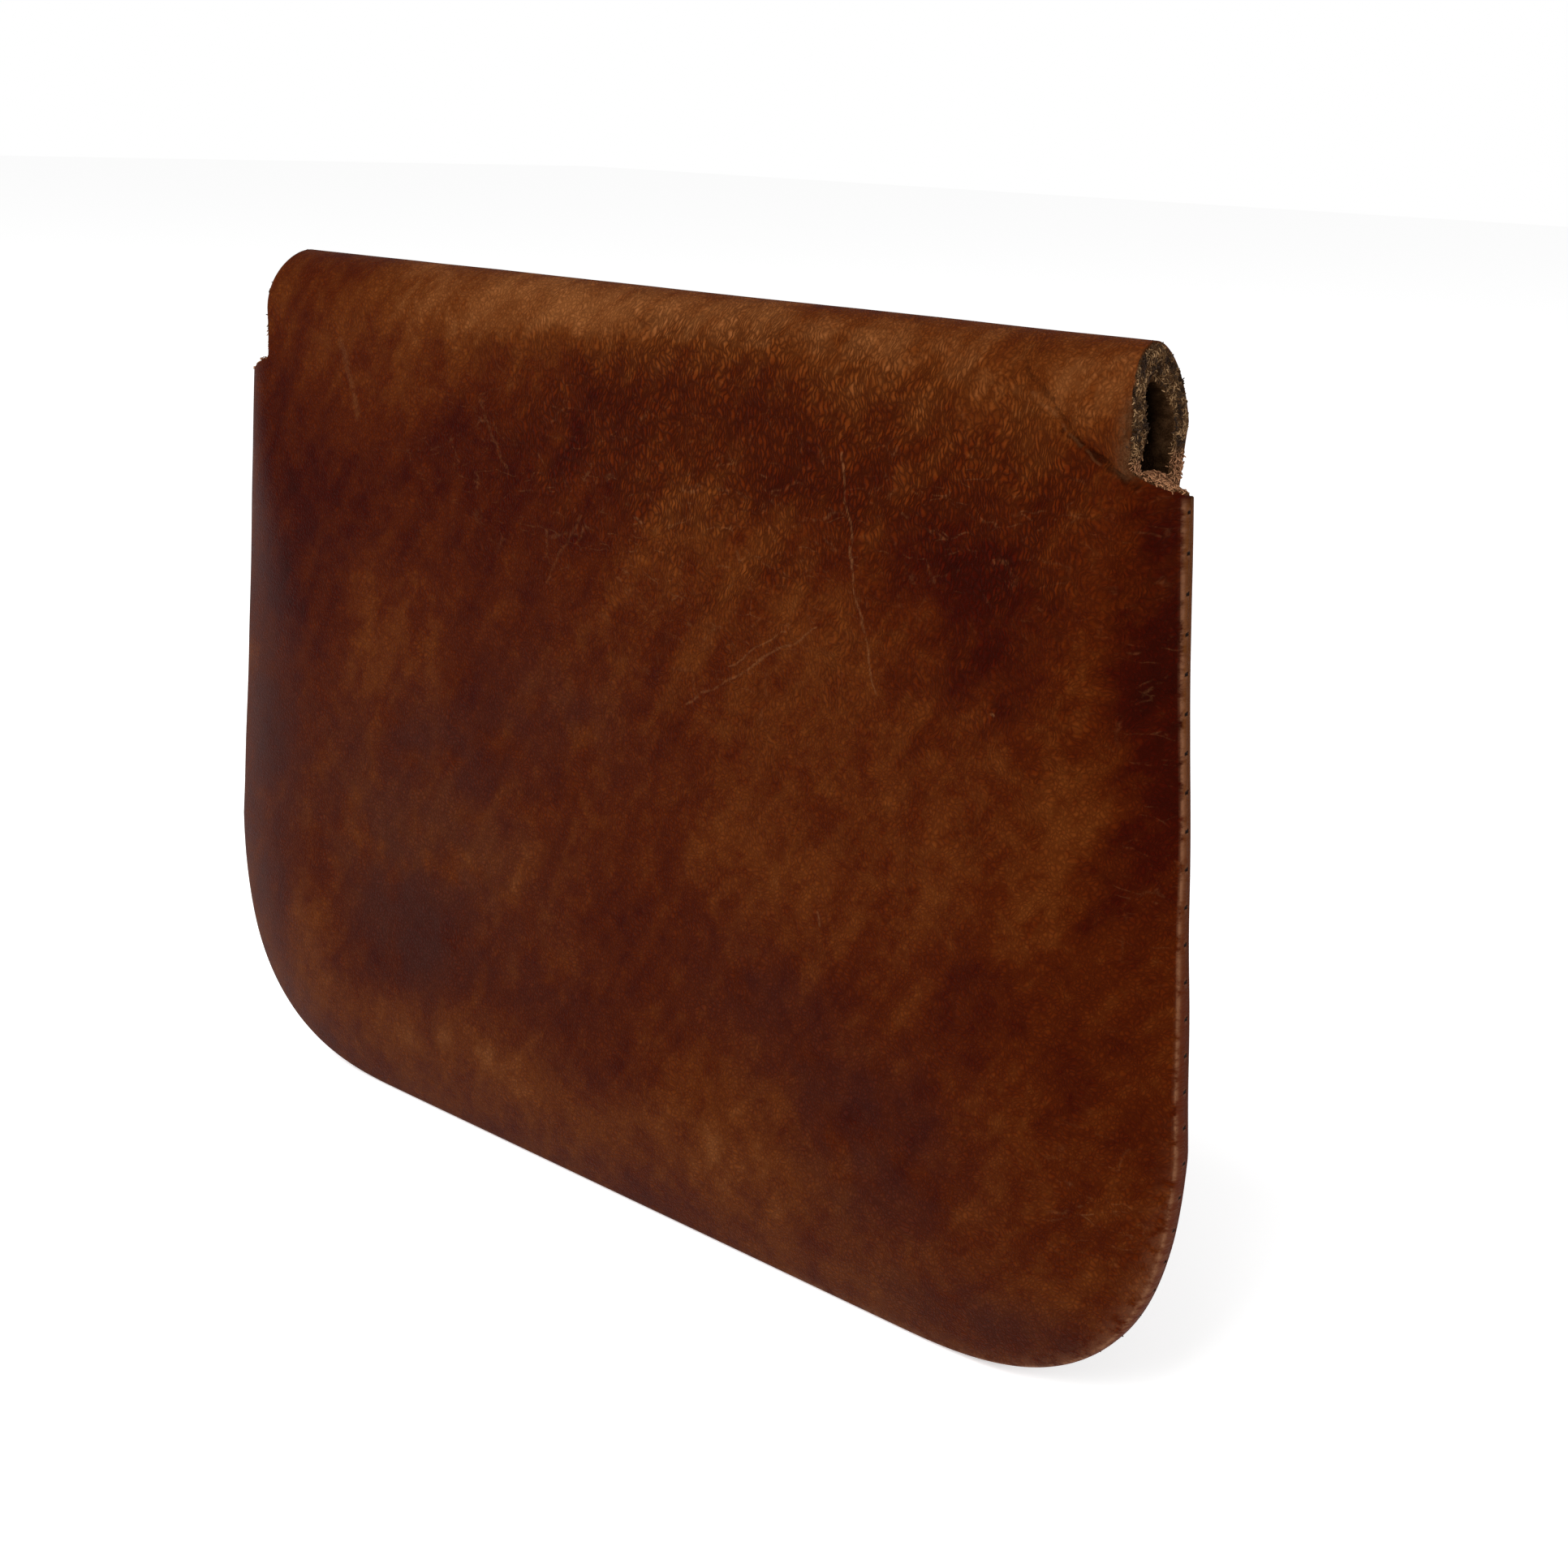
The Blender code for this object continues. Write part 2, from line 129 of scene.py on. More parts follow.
def frontDepth(x, z):
    spread = mix(5.0, 16.0, smooth((69.2 - z) / 30.0))
    middle = mix(mix(3.9, 2.6, smooth((z - 24.0) / 14.0)), 2.55, smooth((z - 48.0) / 20.0))
    return swollen(edgeDistance(x, z), middle, spread, 2.0, purse["edgeDepth"])


# The leather frays and thickens towards the cut ends of the fold.
def endSwell(across):
    ends = np.minimum(purse["foldRight"] - across, across - purse["foldLeft"])
    return 0.75 * (1 - smooth((ends - 1.0) / 5.0))


# Smooth noise from -1 to 1 over two arrays.
def noiseAt(a, b, c=0.0):
    shape = np.shape(a)
    points = zip(np.ravel(a), np.ravel(b))
    return np.array([noise.noise((p, q, c)) for p, q in points]).reshape(shape)


# arc length over half of the top fold, against its angle from the back face
foldAngles = np.linspace(0.0, pi / 2, 400)
foldSteps = np.hypot(
    purse["foldHalfDepth"] * np.diff(np.cos(foldAngles)), purse["foldRise"] * np.diff(np.sin(foldAngles))
)
foldArc = np.concatenate([[0.0], np.cumsum(foldSteps)])


def foldLength(angle):
    half = np.interp(np.minimum(angle, pi - angle), foldAngles, foldArc)
    return np.where(angle <= pi / 2, half, 2 * foldArc[-1] - half)


# Points evenly spaced along a dense line of points, without the first.
def evenly(points, count):
    points = np.asarray(points, float)
    gone = np.concatenate([[0.0], np.cumsum(np.hypot(*np.diff(points, axis=0).T))])
    want = np.linspace(0.0, gone[-1], count + 1)[1:]
    return np.stack([np.interp(want, gone, points[:, k]) for k in (0, 1)], axis=1)


# A round bottom corner from its lowest point to its side.
def cornerLine(power, corner, centreX, centreZ):
    turn = np.linspace(pi / 2, 0.0, 1500)
    across = centreX + corner * np.clip(np.cos(turn), 0, 1) ** (2 / power)
    return np.stack([across, centreZ - corner * np.sin(turn) ** (2 / power)], axis=1)


# Columns from -1 to 1 that crowd towards both sides.
def columnsFrom(insets, halfSpan, step):
    edge = 1.0 - np.array(insets) / halfSpan
    middle = np.linspace(-edge[-1], edge[-1], int(2 * edge[-1] * halfSpan / step) + 1)[1:-1]
    return np.concatenate([-edge, middle, edge[::-1]])


edgeInsets = [0, 0.004, 0.02, 0.05, 0.1, 0.17, 0.26, 0.38, 0.55, 0.8, 1.15, 1.6, 2.2, 2.9]
edgeInsets += [3.5, 4.1, 4.7, 5.3, 5.9, 6.5, 7.1, 7.7, 8.3, 8.9, 9.5, 10.2, 11.0, 11.8]

# pieces of leather


# A closed sheet between two grids of points, with a rim of several rings between their borders.
def buildLeather(name, outer, inner, lay, fields, rim, material):
    rows, columns = outer.shape[:2]
    index = np.arange(rows * columns).reshape(rows, columns)
    border = np.concatenate([index[0, :], index[1:, -1], index[-1, -2::-1], index[-2:0:-1, 0]])
    flatOuter, flatInner = outer.reshape(-1, 3), inner.reshape(-1, 3)
    layOuter = lay.reshape(-1, 3)
    layInner = layOuter + np.array([0.0, 0.0, purse["leather"]])
    along = np.roll(flatOuter[border], -1, axis=0) - np.roll(flatOuter[border], 1, axis=0)
    away = np.cross(along, flatInner[border] - flatOuter[border])
    away /= np.maximum(np.linalg.norm(away, axis=1), 1e-6)[:, None]
    outward = (away * (flatOuter[border] - flatOuter.mean(axis=0))).sum()
    away *= np.sign(outward)
    rings = rim["rings"]
    points, lays = [flatOuter, flatInner], [layOuter, layInner]
    raw = rim["raw"].reshape(-1)[border]
    for k in range(rings):
        t = (k + 1) / (rings + 1)
        ring = mix(flatOuter[border], flatInner[border], t)
        ring = ring + away * (rim["bulge"].reshape(-1)[border] * sin(pi * t))[:, None]
        torn = np.array([noise.noise_vector(Vector(p) * 2.1) for p in ring])
        torn += 0.6 * np.array([noise.noise_vector(Vector(p) * 5.3 + Vector((9, 3, 1))) for p in ring])
        ring = ring + torn * (raw * rim["tear"])[:, None]
        points.append(ring)
        lays.append(mix(layOuter[border], layInner[border], t))
    points, lays = np.concatenate(points), np.concatenate(lays)
    total = rows * columns
    a, b, c, d = index[:-1, :-1], index[:-1, 1:], index[1:, 1:], index[1:, :-1]
    faces = [np.stack([a, b, c, d], -1).reshape(-1, 4)]
    faces.append(np.stack([d, c, b, a], -1).reshape(-1, 4) + total)
    chain = [border] + [2 * total + k * len(border) + np.arange(len(border)) for k in range(rings)]
    chain.append(border + total)
    for near, far in zip(chain, chain[1:]):
        faces.append(np.stack([np.roll(near, -1), near, far, np.roll(far, -1)], -1))
    faces = np.concatenate(faces)
    if rim["flip"]:
        faces = faces[:, ::-1]
    mesh = bpy.data.meshes.new(name)
    mesh.from_pydata((points * mm).tolist(), [], faces.tolist())
    mesh.validate()
    mesh.shade_smooth()
    mesh.set_sharp_from_angle(angle=radians(50))
    mesh.materials.append(material)
    stored = mesh.attributes.new("lay", "FLOAT_VECTOR", "POINT")
    stored.data.foreach_set("vector", lays.astype(np.float32).ravel())
    ringed = len(border) * rings
    for label, values in fields.items():
        flat = values.reshape(-1)
        onInner = rim["innerFields"].get(label, None)
        second = flat.copy() if onInner is None else np.full(total, onInner)
        around = flat[border]
        if label == "flesh":
            around = rim["raw"].reshape(-1)[border]
        if label == "cut":
            around = rim["cut"].reshape(-1)[border]
        second[border] = around
        every = np.concatenate([flat, second, np.tile(around, rings)])
        made = mesh.attributes.new(label, "FLOAT", "POINT")
        made.data.foreach_set("value", every.astype(np.float32))
    piece = bpy.data.objects.new(name, mesh)
    bpy.context.scene.collection.objects.link(piece)
    print(f"{name}: {len(mesh.polygons)} faces, {ringed} points on its rim")
    return piece, points, faces, np.concatenate([np.zeros(2 * total), np.tile(raw, rings)])


# Distance along the outline from the middle of the bottom, signed like x.
def seamRun(x, z):
    corner = purse["corner"]
    line = cornerLine(purse["cornerPower"], corner, purse["halfWidth"] - corner, corner)
    gone = np.concatenate([[0.0], np.cumsum(np.hypot(*np.diff(line, axis=0).T))])
    turn = np.linspace(0.0, pi / 2, len(line))
    half = purse["cornerPower"] / 2
    across = np.maximum(np.abs(x) - (sideLine(z) - corner), 0.0) / corner
    down = np.maximum(corner - z, 0.0) / corner
    angle = np.arctan2(across**half, np.maximum(down**half, 1e-9))
    flat = np.minimum(np.abs(x), purse["halfWidth"] - corner)
    return np.sign(x) * (flat + np.interp(angle, turn, gone) + np.maximum(z - corner, 0.0) * 1.0057)


# soft patches of colour on the back; some are painted light, as marked below:
# x, height along the leather, half-width, half-height, strength
backPatches = {
    "tone": [
        # painted highlight: the patches at heights 78 to 80, on this line and the next, lighten the top of the fold
        (-38, 79, 13, 4, 0.05), (-12, 80, 16, 4, 0.6), (22, 79, 26, 4, 0.6),
        (-4, 79, 22, 4, 0.25), (28, 10, 14, 9, 0.3), (44, 78, 6, 6, 0.3),
        (-22, 72, 10, 5, 0.1), (0, 73.5, 10, 4.5, -0.2), (-42, 68, 7, 7, -0.15), (-33, 60, 10, 6, -0.35),
        (-41, 52, 9, 8, -0.5), (-9, 62, 13, 8, -0.35), (-16, 68, 8, 5, -0.25), (20, 70, 9, 4, -0.2),
        # painted shade: the dark band at x 51.5, where the side turns away from the light; the faint light band at x 45
        # on the next line is a painted highlight on the swell
        (35, 64, 7, 5, -0.55), (38, 57, 5, 4, -0.35), (51.5, 57, 3.6, 17, -0.65), (46.5, 72, 6, 4, -0.15),
        (45, 50, 3.2, 13, 0.08), (8, 62, 11, 6, 0.3), (28, 43, 13, 9, 0.25), (-29, 49, 6, 9, 0.3),
        (-21, 30, 15, 5, 0.28), (-25, 20, 7, 6, -0.5), (-20, 39, 9, 4, -0.25), (-46, 36, 6, 8, -0.35),
        (-13, 45, 7, 6, -0.2), (28, 17, 8, 7, -0.55), (41, 4, 10, 3, -0.15), (0, 17, 7, 6, -0.3),
        (3, 29, 6, 5, -0.2), (18, 27, 6, 5, -0.3), (39, 31, 6, 6, -0.3), (15, 14, 12, 6, 0.35),
        (-41, 12, 8, 6, 0.2), (-11, 10, 9, 5, 0.3), (45, 18, 7, 8, -0.05), (51, 12, 4, 6, 0.1),
        (-30, 9, 8, 5, 0.25), (22, 57, 7, 4, 0.2), (0, 8, 22, 6, 0.15), (-47, 20, 3, 8, -0.2),
    ],
    "plum": [
        (-25, 20, 8, 7, 1.0), (-22, 39, 10, 5, 0.55), (-46, 37, 7, 9, 0.6), (-6, 46, 10, 6, 0.5),
        (29, 17, 9, 8, 0.7), (41, 5, 11, 4, 0.7), (-30, 30, 16, 8, 0.45), (-15, 30, 12, 6, 0.35),
        (18, 27, 7, 6, 0.35), (-8, 19, 12, 7, 0.3), (-47, 18, 4, 8, 0.5),
    ],
    "wrinkle": [
        (22, 73, 26, 9, 1.0), (0, 70, 18, 9, 0.6), (20, 55, 26, 14, 0.5), (40, 66, 8, 12, 0.4),
    ],
    "crossing": [
        (8, 64, 16, 9, 1.0), (-16, 66, 12, 8, 0.5), (34, 68, 14, 6, 0.7),
        (14, 53, 8, 6, 0.4), (51, 52, 3, 14, 0.6), (50, 18, 4, 6, 0.8),
    ],
}


def patchField(patches, u, v):
    total = np.zeros(np.shape(u))
    for x, z, wide, tall, strength in patches:
        bentU = u + 2.2 * waveU
        bentV = v + 2.2 * waveV
        total += strength * np.exp(-(((bentU - x) / wide) ** 2) - (((bentV - z) / tall) ** 2))
    return total


# shader groups


def addNode(tree, kind, values=None, **settings):
    made = tree.nodes.new(kind)
    for label, value in settings.items():
        setattr(made, label, value)
    for key, value in (values or {}).items():
        if isinstance(value, bpy.types.NodeSocket):
            tree.links.new(value, made.inputs[key])
        else:
            made.inputs[key].default_value = value
    return made


def calc(tree, operation, *values, clamp=False):
    pairs = dict(enumerate(values))
    return addNode(tree, "ShaderNodeMath", pairs, operation=operation, use_clamp=clamp).outputs[0]


def vectorCalc(tree, operation, *values):
    return addNode(tree, "ShaderNodeVectorMath", dict(enumerate(values)), operation=operation)


# 1 where the value is at high, 0 at low, with a smooth step between; low may be above high.
def fadeBetween(tree, value, low, high):
    made = addNode(
        tree,
        "ShaderNodeMapRange",
        {"Value": value, "From Min": low, "From Max": high, "To Min": 0.0, "To Max": 1.0},
        interpolation_type="SMOOTHSTEP",
    )
    return made.outputs["Result"]


def blendColor(tree, factor, a, b, blendType="MIX"):
    made = addNode(tree, "ShaderNodeMix", data_type="RGBA", blend_type=blendType)
    for key, value in ((0, factor), (6, a), (7, b)):
        if isinstance(value, bpy.types.NodeSocket):
            tree.links.new(value, made.inputs[key])
        else:
            made.inputs[key].default_value = value
    return made.outputs[2]


def noiseNode(tree, place, scale, detail=2.0, roughness=0.5, distortion=0.0):
    values = {"Vector": place, "Scale": scale, "Detail": detail, "Roughness": roughness, "Distortion": distortion}
    return addNode(tree, "ShaderNodeTexNoise", values)


def newGroup(name, inputs, outputs):
    tree = bpy.data.node_groups.new(name, "ShaderNodeTree")
    for label, kind, value in inputs:
        socket = tree.interface.new_socket(label, in_out="INPUT", socket_type="NodeSocket" + kind)
        if value is not None:
            socket.default_value = value
    for label, kind in outputs:
        tree.interface.new_socket(label, in_out="OUTPUT", socket_type="NodeSocket" + kind)
    return tree, tree.nodes.new("NodeGroupInput").outputs, tree.nodes.new("NodeGroupOutput").inputs


def useGroup(tree, group, values):
    made = addNode(tree, "ShaderNodeGroup", node_tree=group)
    for label, value in values.items():
        if isinstance(value, bpy.types.NodeSocket):
            tree.links.new(value, made.inputs[label])
        else:
            made.inputs[label].default_value = value
    return made.outputs


def rgb(red, green, blue):
    return (red, green, blue, 1.0)


# Short upright wrinkles and rounder pebbles between narrow valleys; height is in mm.
def makeGrainGroup():
    inputs = [("Place", "Vector", None), ("Wrinkle", "Float", 1.0), ("Pores", "Float", 1.0)]
    outputs = [("Height", "Float"), ("Valleys", "Float"), ("Ridges", "Float")]
    tree, given, result = newGroup("hideGrain", inputs, outputs)
    bend = noiseNode(tree, given["Place"], 0.22, 1.0).outputs["Color"]
    bend = vectorCalc(tree, "SUBTRACT", bend, (0.5, 0.5, 0.5)).outputs[0]
    bend = vectorCalc(tree, "MULTIPLY", bend, (2.4, 1.6, 0.0)).outputs[0]
    bent = vectorCalc(tree, "ADD", given["Place"], bend).outputs[0]
    wobble = noiseNode(tree, given["Place"], 1.5, 1.0).outputs["Color"]
    wobble = vectorCalc(tree, "SUBTRACT", wobble, (0.5, 0.5, 0.5)).outputs[0]
    wobble = vectorCalc(tree, "MULTIPLY", wobble, (0.5, 0.35, 0.0)).outputs[0]
    bent = vectorCalc(tree, "ADD", bent, wobble).outputs[0]
    shapes = {}
    for label, stretch in (("tall", (3.5, 1.15, 1.0)), ("round", (3.4, 2.8, 1.0))):
        place = vectorCalc(tree, "MULTIPLY", bent, stretch).outputs[0]
        cells = addNode(tree, "ShaderNodeTexVoronoi", {"Vector": place, "Scale": 1.0}, feature="DISTANCE_TO_EDGE")
        shapes[label] = cells.outputs["Distance"]
    patchy = noiseNode(tree, given["Place"], 0.3, 2.0).outputs["Fac"]
    tallShare = calc(tree, "ADD", given["Wrinkle"], calc(tree, "MULTIPLY_ADD", patchy, 1.6, -0.8), clamp=True)
    taller = calc(tree, "SUBTRACT", shapes["tall"], shapes["round"])
    spread = calc(tree, "MULTIPLY_ADD", tallShare, taller, shapes["round"])
    depth = calc(tree, "MULTIPLY_ADD", tallShare, 0.45, calc(tree, "MULTIPLY", given["Pores"], 0.55))
    valley = calc(tree, "MULTIPLY", fadeBetween(tree, spread, 0.17, 0.02), depth)
    ridge = calc(tree, "MULTIPLY", fadeBetween(tree, spread, 0.14, 0.36), depth)
    fine = noiseNode(tree, bent, 5.0, 2.0, 0.6).outputs["Fac"]
    height = calc(tree, "MULTIPLY", fadeBetween(tree, spread, 0.0, 0.3), 0.085)
    height = calc(tree, "MULTIPLY", height, depth)
    height = calc(tree, "MULTIPLY_ADD", fine, 0.03, height)
    tree.links.new(height, result["Height"])
    tree.links.new(valley, result["Valleys"])
    tree.links.new(ridge, result["Ridges"])
    return tree


# Pull-up leather: soft clouds and finer mottling over listed patches, as one tone from 0 to 1.
def makeMarbleGroup():
    inputs = [("Place", "Vector", None), ("Tone", "Float", 0.0), ("Cloud", "Float", 0.5), ("Mottle", "Float", 0.3)]
    tree, given, result = newGroup("marbledHide", inputs, [("Tone", "Float")])
    cloud = noiseNode(tree, given["Place"], 0.085, 3.0, 0.55, 0.5).outputs["Fac"]
    mottle = noiseNode(tree, given["Place"], 0.42, 4.0, 0.62, 0.3).outputs["Fac"]
    fleck = noiseNode(tree, given["Place"], 1.9, 3.0, 0.65).outputs["Fac"]
    turned = addNode(
        tree, "ShaderNodeVectorRotate", {"Vector": given["Place"], "Angle": radians(33.0)}, rotation_type="Z_AXIS"
    )
    slanted = vectorCalc(tree, "MULTIPLY", turned.outputs[0], (0.42, 0.085, 1.0)).outputs[0]
    drape = noiseNode(tree, slanted, 1.0, 3.0, 0.6, 0.3).outputs["Fac"]
    tone = calc(tree, "MULTIPLY_ADD", given["Tone"], 0.5, 0.5)
    for layer, weight in ((cloud, given["Cloud"]), (mottle, given["Mottle"]), (drape, 0.5)):
        tone = calc(tree, "MULTIPLY_ADD", calc(tree, "SUBTRACT", layer, 0.5), weight, tone)
    tone = calc(tree, "MULTIPLY_ADD", calc(tree, "SUBTRACT", fleck, 0.5), 0.26, tone, clamp=True)
    tree.links.new(tone, result["Tone"])
    return tree


# Thin broken crease lines that run mostly across the leather.
def makeCrossingGroup():
    inputs = [("Place", "Vector", None), ("Amount", "Float", 1.0)]
    tree, given, result = newGroup("crossCreases", inputs, [("Mask", "Float")])
    bend = noiseNode(tree, given["Place"], 0.25, 3.0).outputs["Color"]
    bend = vectorCalc(tree, "MULTIPLY", vectorCalc(tree, "SUBTRACT", bend, (0.5, 0.5, 0.5)).outputs[0], (2.4, 2.4, 0.0))
    place = vectorCalc(tree, "ADD", given["Place"], bend.outputs[0]).outputs[0]
    place = vectorCalc(tree, "MULTIPLY", place, (0.5, 1.3, 1.0)).outputs[0]
    mask = None
    for scale, width in ((0.2, 0.02), (0.42, 0.035)):
        cells = addNode(tree, "ShaderNodeTexVoronoi", {"Vector": place, "Scale": scale}, feature="DISTANCE_TO_EDGE")
        line = fadeBetween(tree, cells.outputs["Distance"], width, 0.0)
        mask = line if mask is None else calc(tree, "MAXIMUM", mask, line)
    broken = fadeBetween(tree, noiseNode(tree, given["Place"], 0.7, 4.0, 0.7).outputs["Fac"], 0.48, 0.64)
    mask = calc(tree, "MULTIPLY", calc(tree, "MULTIPLY", mask, broken), given["Amount"])
    tree.links.new(mask, result["Mask"])
    return tree


# One slightly wandering scratch between two places.
def makeScratchGroup():
    inputs = [("Place", "Vector", None), ("From", "Vector", None), ("To", "Vector", None), ("Width", "Float", 0.15)]
    tree, given, result = newGroup("scratch", inputs, [("Mask", "Float")])
    bend = noiseNode(tree, given["Place"], 0.45, 2.0).outputs["Color"]
    bend = vectorCalc(tree, "MULTIPLY", vectorCalc(tree, "SUBTRACT", bend, (0.5, 0.5, 0.5)).outputs[0], (1.2, 1.2, 0.0))
    place = vectorCalc(tree, "MULTIPLY", given["Place"], (1.0, 1.0, 0.0)).outputs[0]
    place = vectorCalc(tree, "ADD", place, bend.outputs[0]).outputs[0]
    along = vectorCalc(tree, "SUBTRACT", given["To"], given["From"]).outputs[0]
    offset = vectorCalc(tree, "SUBTRACT", place, given["From"]).outputs[0]
    dots = [vectorCalc(tree, "DOT_PRODUCT", first, along).outputs["Value"] for first in (offset, along)]
    share = calc(tree, "DIVIDE", dots[0], dots[1], clamp=True)
    nearest = addNode(tree, "ShaderNodeVectorMath", {0: along, "Scale": share}, operation="SCALE").outputs[0]
    away = vectorCalc(tree, "LENGTH", vectorCalc(tree, "SUBTRACT", offset, nearest).outputs[0]).outputs["Value"]
    line = fadeBetween(tree, calc(tree, "DIVIDE", away, given["Width"]), 1.0, 0.2)
    broken = fadeBetween(tree, noiseNode(tree, given["Place"], 1.4, 2.0).outputs["Fac"], 0.3, 0.55)
    tree.links.new(calc(tree, "MULTIPLY", line, broken), result["Mask"])
    return tree


# The raw, matted flesh side and torn edges.
def makeFibreGroup():
    inputs = [
        ("Place", "Vector", None),
        ("Dark", "Color", rgb(0.02, 0.008, 0.003)),
        ("Light", "Color", rgb(0.2, 0.12, 0.06)),
    ]
    tree, given, result = newGroup("rawFibre", inputs, [("Color", "Color"), ("Height", "Float")])
    strands = noiseNode(tree, given["Place"], 3.2, 4.0, 0.7, 2.5).outputs["Fac"]
    clumps = noiseNode(tree, given["Place"], 0.9, 2.0, 0.5).outputs["Fac"]
    total = calc(tree, "MULTIPLY_ADD", calc(tree, "SUBTRACT", clumps, 0.5), 0.8, strands)
    color = blendColor(tree, fadeBetween(tree, total, 0.35, 0.72), given["Dark"], given["Light"])
    tree.links.new(color, result["Color"])
    tree.links.new(calc(tree, "MULTIPLY", total, 0.16), result["Height"])
    return tree


grainGroup = makeGrainGroup()
marbleGroup = makeMarbleGroup()
crossingGroup = makeCrossingGroup()
scratchGroup = makeScratchGroup()
fibreGroup = makeFibreGroup()
print("shader groups made")

# leather colours and finish, with painted shade and highlight colours among them

leatherLookAndPaintedLight = {
    "ramp": [
        (0.0, rgb(0.0110, 0.0003, 0.0001)),
        (0.25, rgb(0.0255, 0.0013, 0.0001)),
        (0.48, rgb(0.0480, 0.0062, 0.0004)),
        (0.7, rgb(0.0790, 0.0172, 0.0022)),
        (1.0, rgb(0.1480, 0.0480, 0.0120)),
    ],
    "plum": rgb(0.032, 0.0086, 0.0056),
    "pale": rgb(0.150, 0.0600, 0.0220),
    # pale arris colour: partly wear, partly painted highlight; also the painted highlight on the stitch lips
    "arris": rgb(0.150, 0.0620, 0.0300),
    "stripHigh": rgb(0.085, 0.0250, 0.0050),
    "stripLow": rgb(0.065, 0.0120, 0.0042),
    "burnish": rgb(0.022, 0.0050, 0.0015),
    "streak": rgb(0.06, 0.012, 0.003),
    # painted shade for the grain valleys
    "valley": rgb(0.009, 0.001, 0.0002),
    # painted shade for the shoulder creases
    "furrow": rgb(0.012, 0.002, 0.0003),
    # painted shade in the stitch slits
    "slit": rgb(0.004, 0.001, 0.0005),
    # painted shade for the hollow inside the closed fold
    "paintedFoldShade": rgb(0.0025, 0.001, 0.0005),
    "fleshDark": rgb(0.034, 0.0145, 0.0055),
    "fleshLight": rgb(0.105, 0.051, 0.022),
    "specular": 0.025,
    "sheenTint": rgb(1.0, 0.62, 0.36),
    "roughness": 0.58,
}
stitchPitch = 2.78
routeHalf = float(seamRun(np.array(50.6), np.array(64.8)))
stitchCount = int(round(2 * routeHalf / stitchPitch))
stitchPitch = 2 * routeHalf / stitchCount

# scratches on the back, as places on the laid-out leather, a width and a strength
backScratches = [
    ((23.4, 71.0, 0), (26.0, 61.5, 0), 0.16, 0.75),
    ((26.0, 61.5, 0), (28.6, 54.0, 0), 0.14, 0.6),
    ((10.0, 49.6, 0), (22.6, 57.8, 0), 0.16, 0.55),
    ((14.0, 53.4, 0), (19.6, 57.2, 0), 0.13, 0.5),
    ((-33.8, 73.6, 0), (-31.3, 67.6, 0), 0.6, 0.3),
    ((51.2, 64.6, 0), (51.9, 62.3, 0), 0.3, 0.6),
    ((-15.4, 70.4, 0), (-11.6, 65.0, 0), 0.2, 0.3),
    ((-2.6, 62.8, 0), (-6.4, 56.6, 0), 0.25, 0.25),
    ((38.7, 54.7, 0), (38.9, 54.6, 0), 0.2, 1.0),
    ((24.0, 35.5, 0), (24.3, 34.6, 0), 0.2, 0.6),
]

# creases at the right shoulder: two places, a width, a depth and a strength: below 0 painted shade in the crease, above
# 0 a painted highlight beside it
shoulderCreases = [
    ((47.8, 71.9, 0), (43.8, 74.0, 0), 0.42, 0.10, -0.75),
    ((47.0, 72.4, 0), (42.2, 74.9, 0), 0.26, 0.08, -0.6),
    ((43.6, 74.2, 0), (38.2, 79.2, 0), 0.24, 0.07, -0.4),
    ((45.2, 72.9, 0), (39.4, 77.2, 0), 0.16, -0.03, 0.18),
]


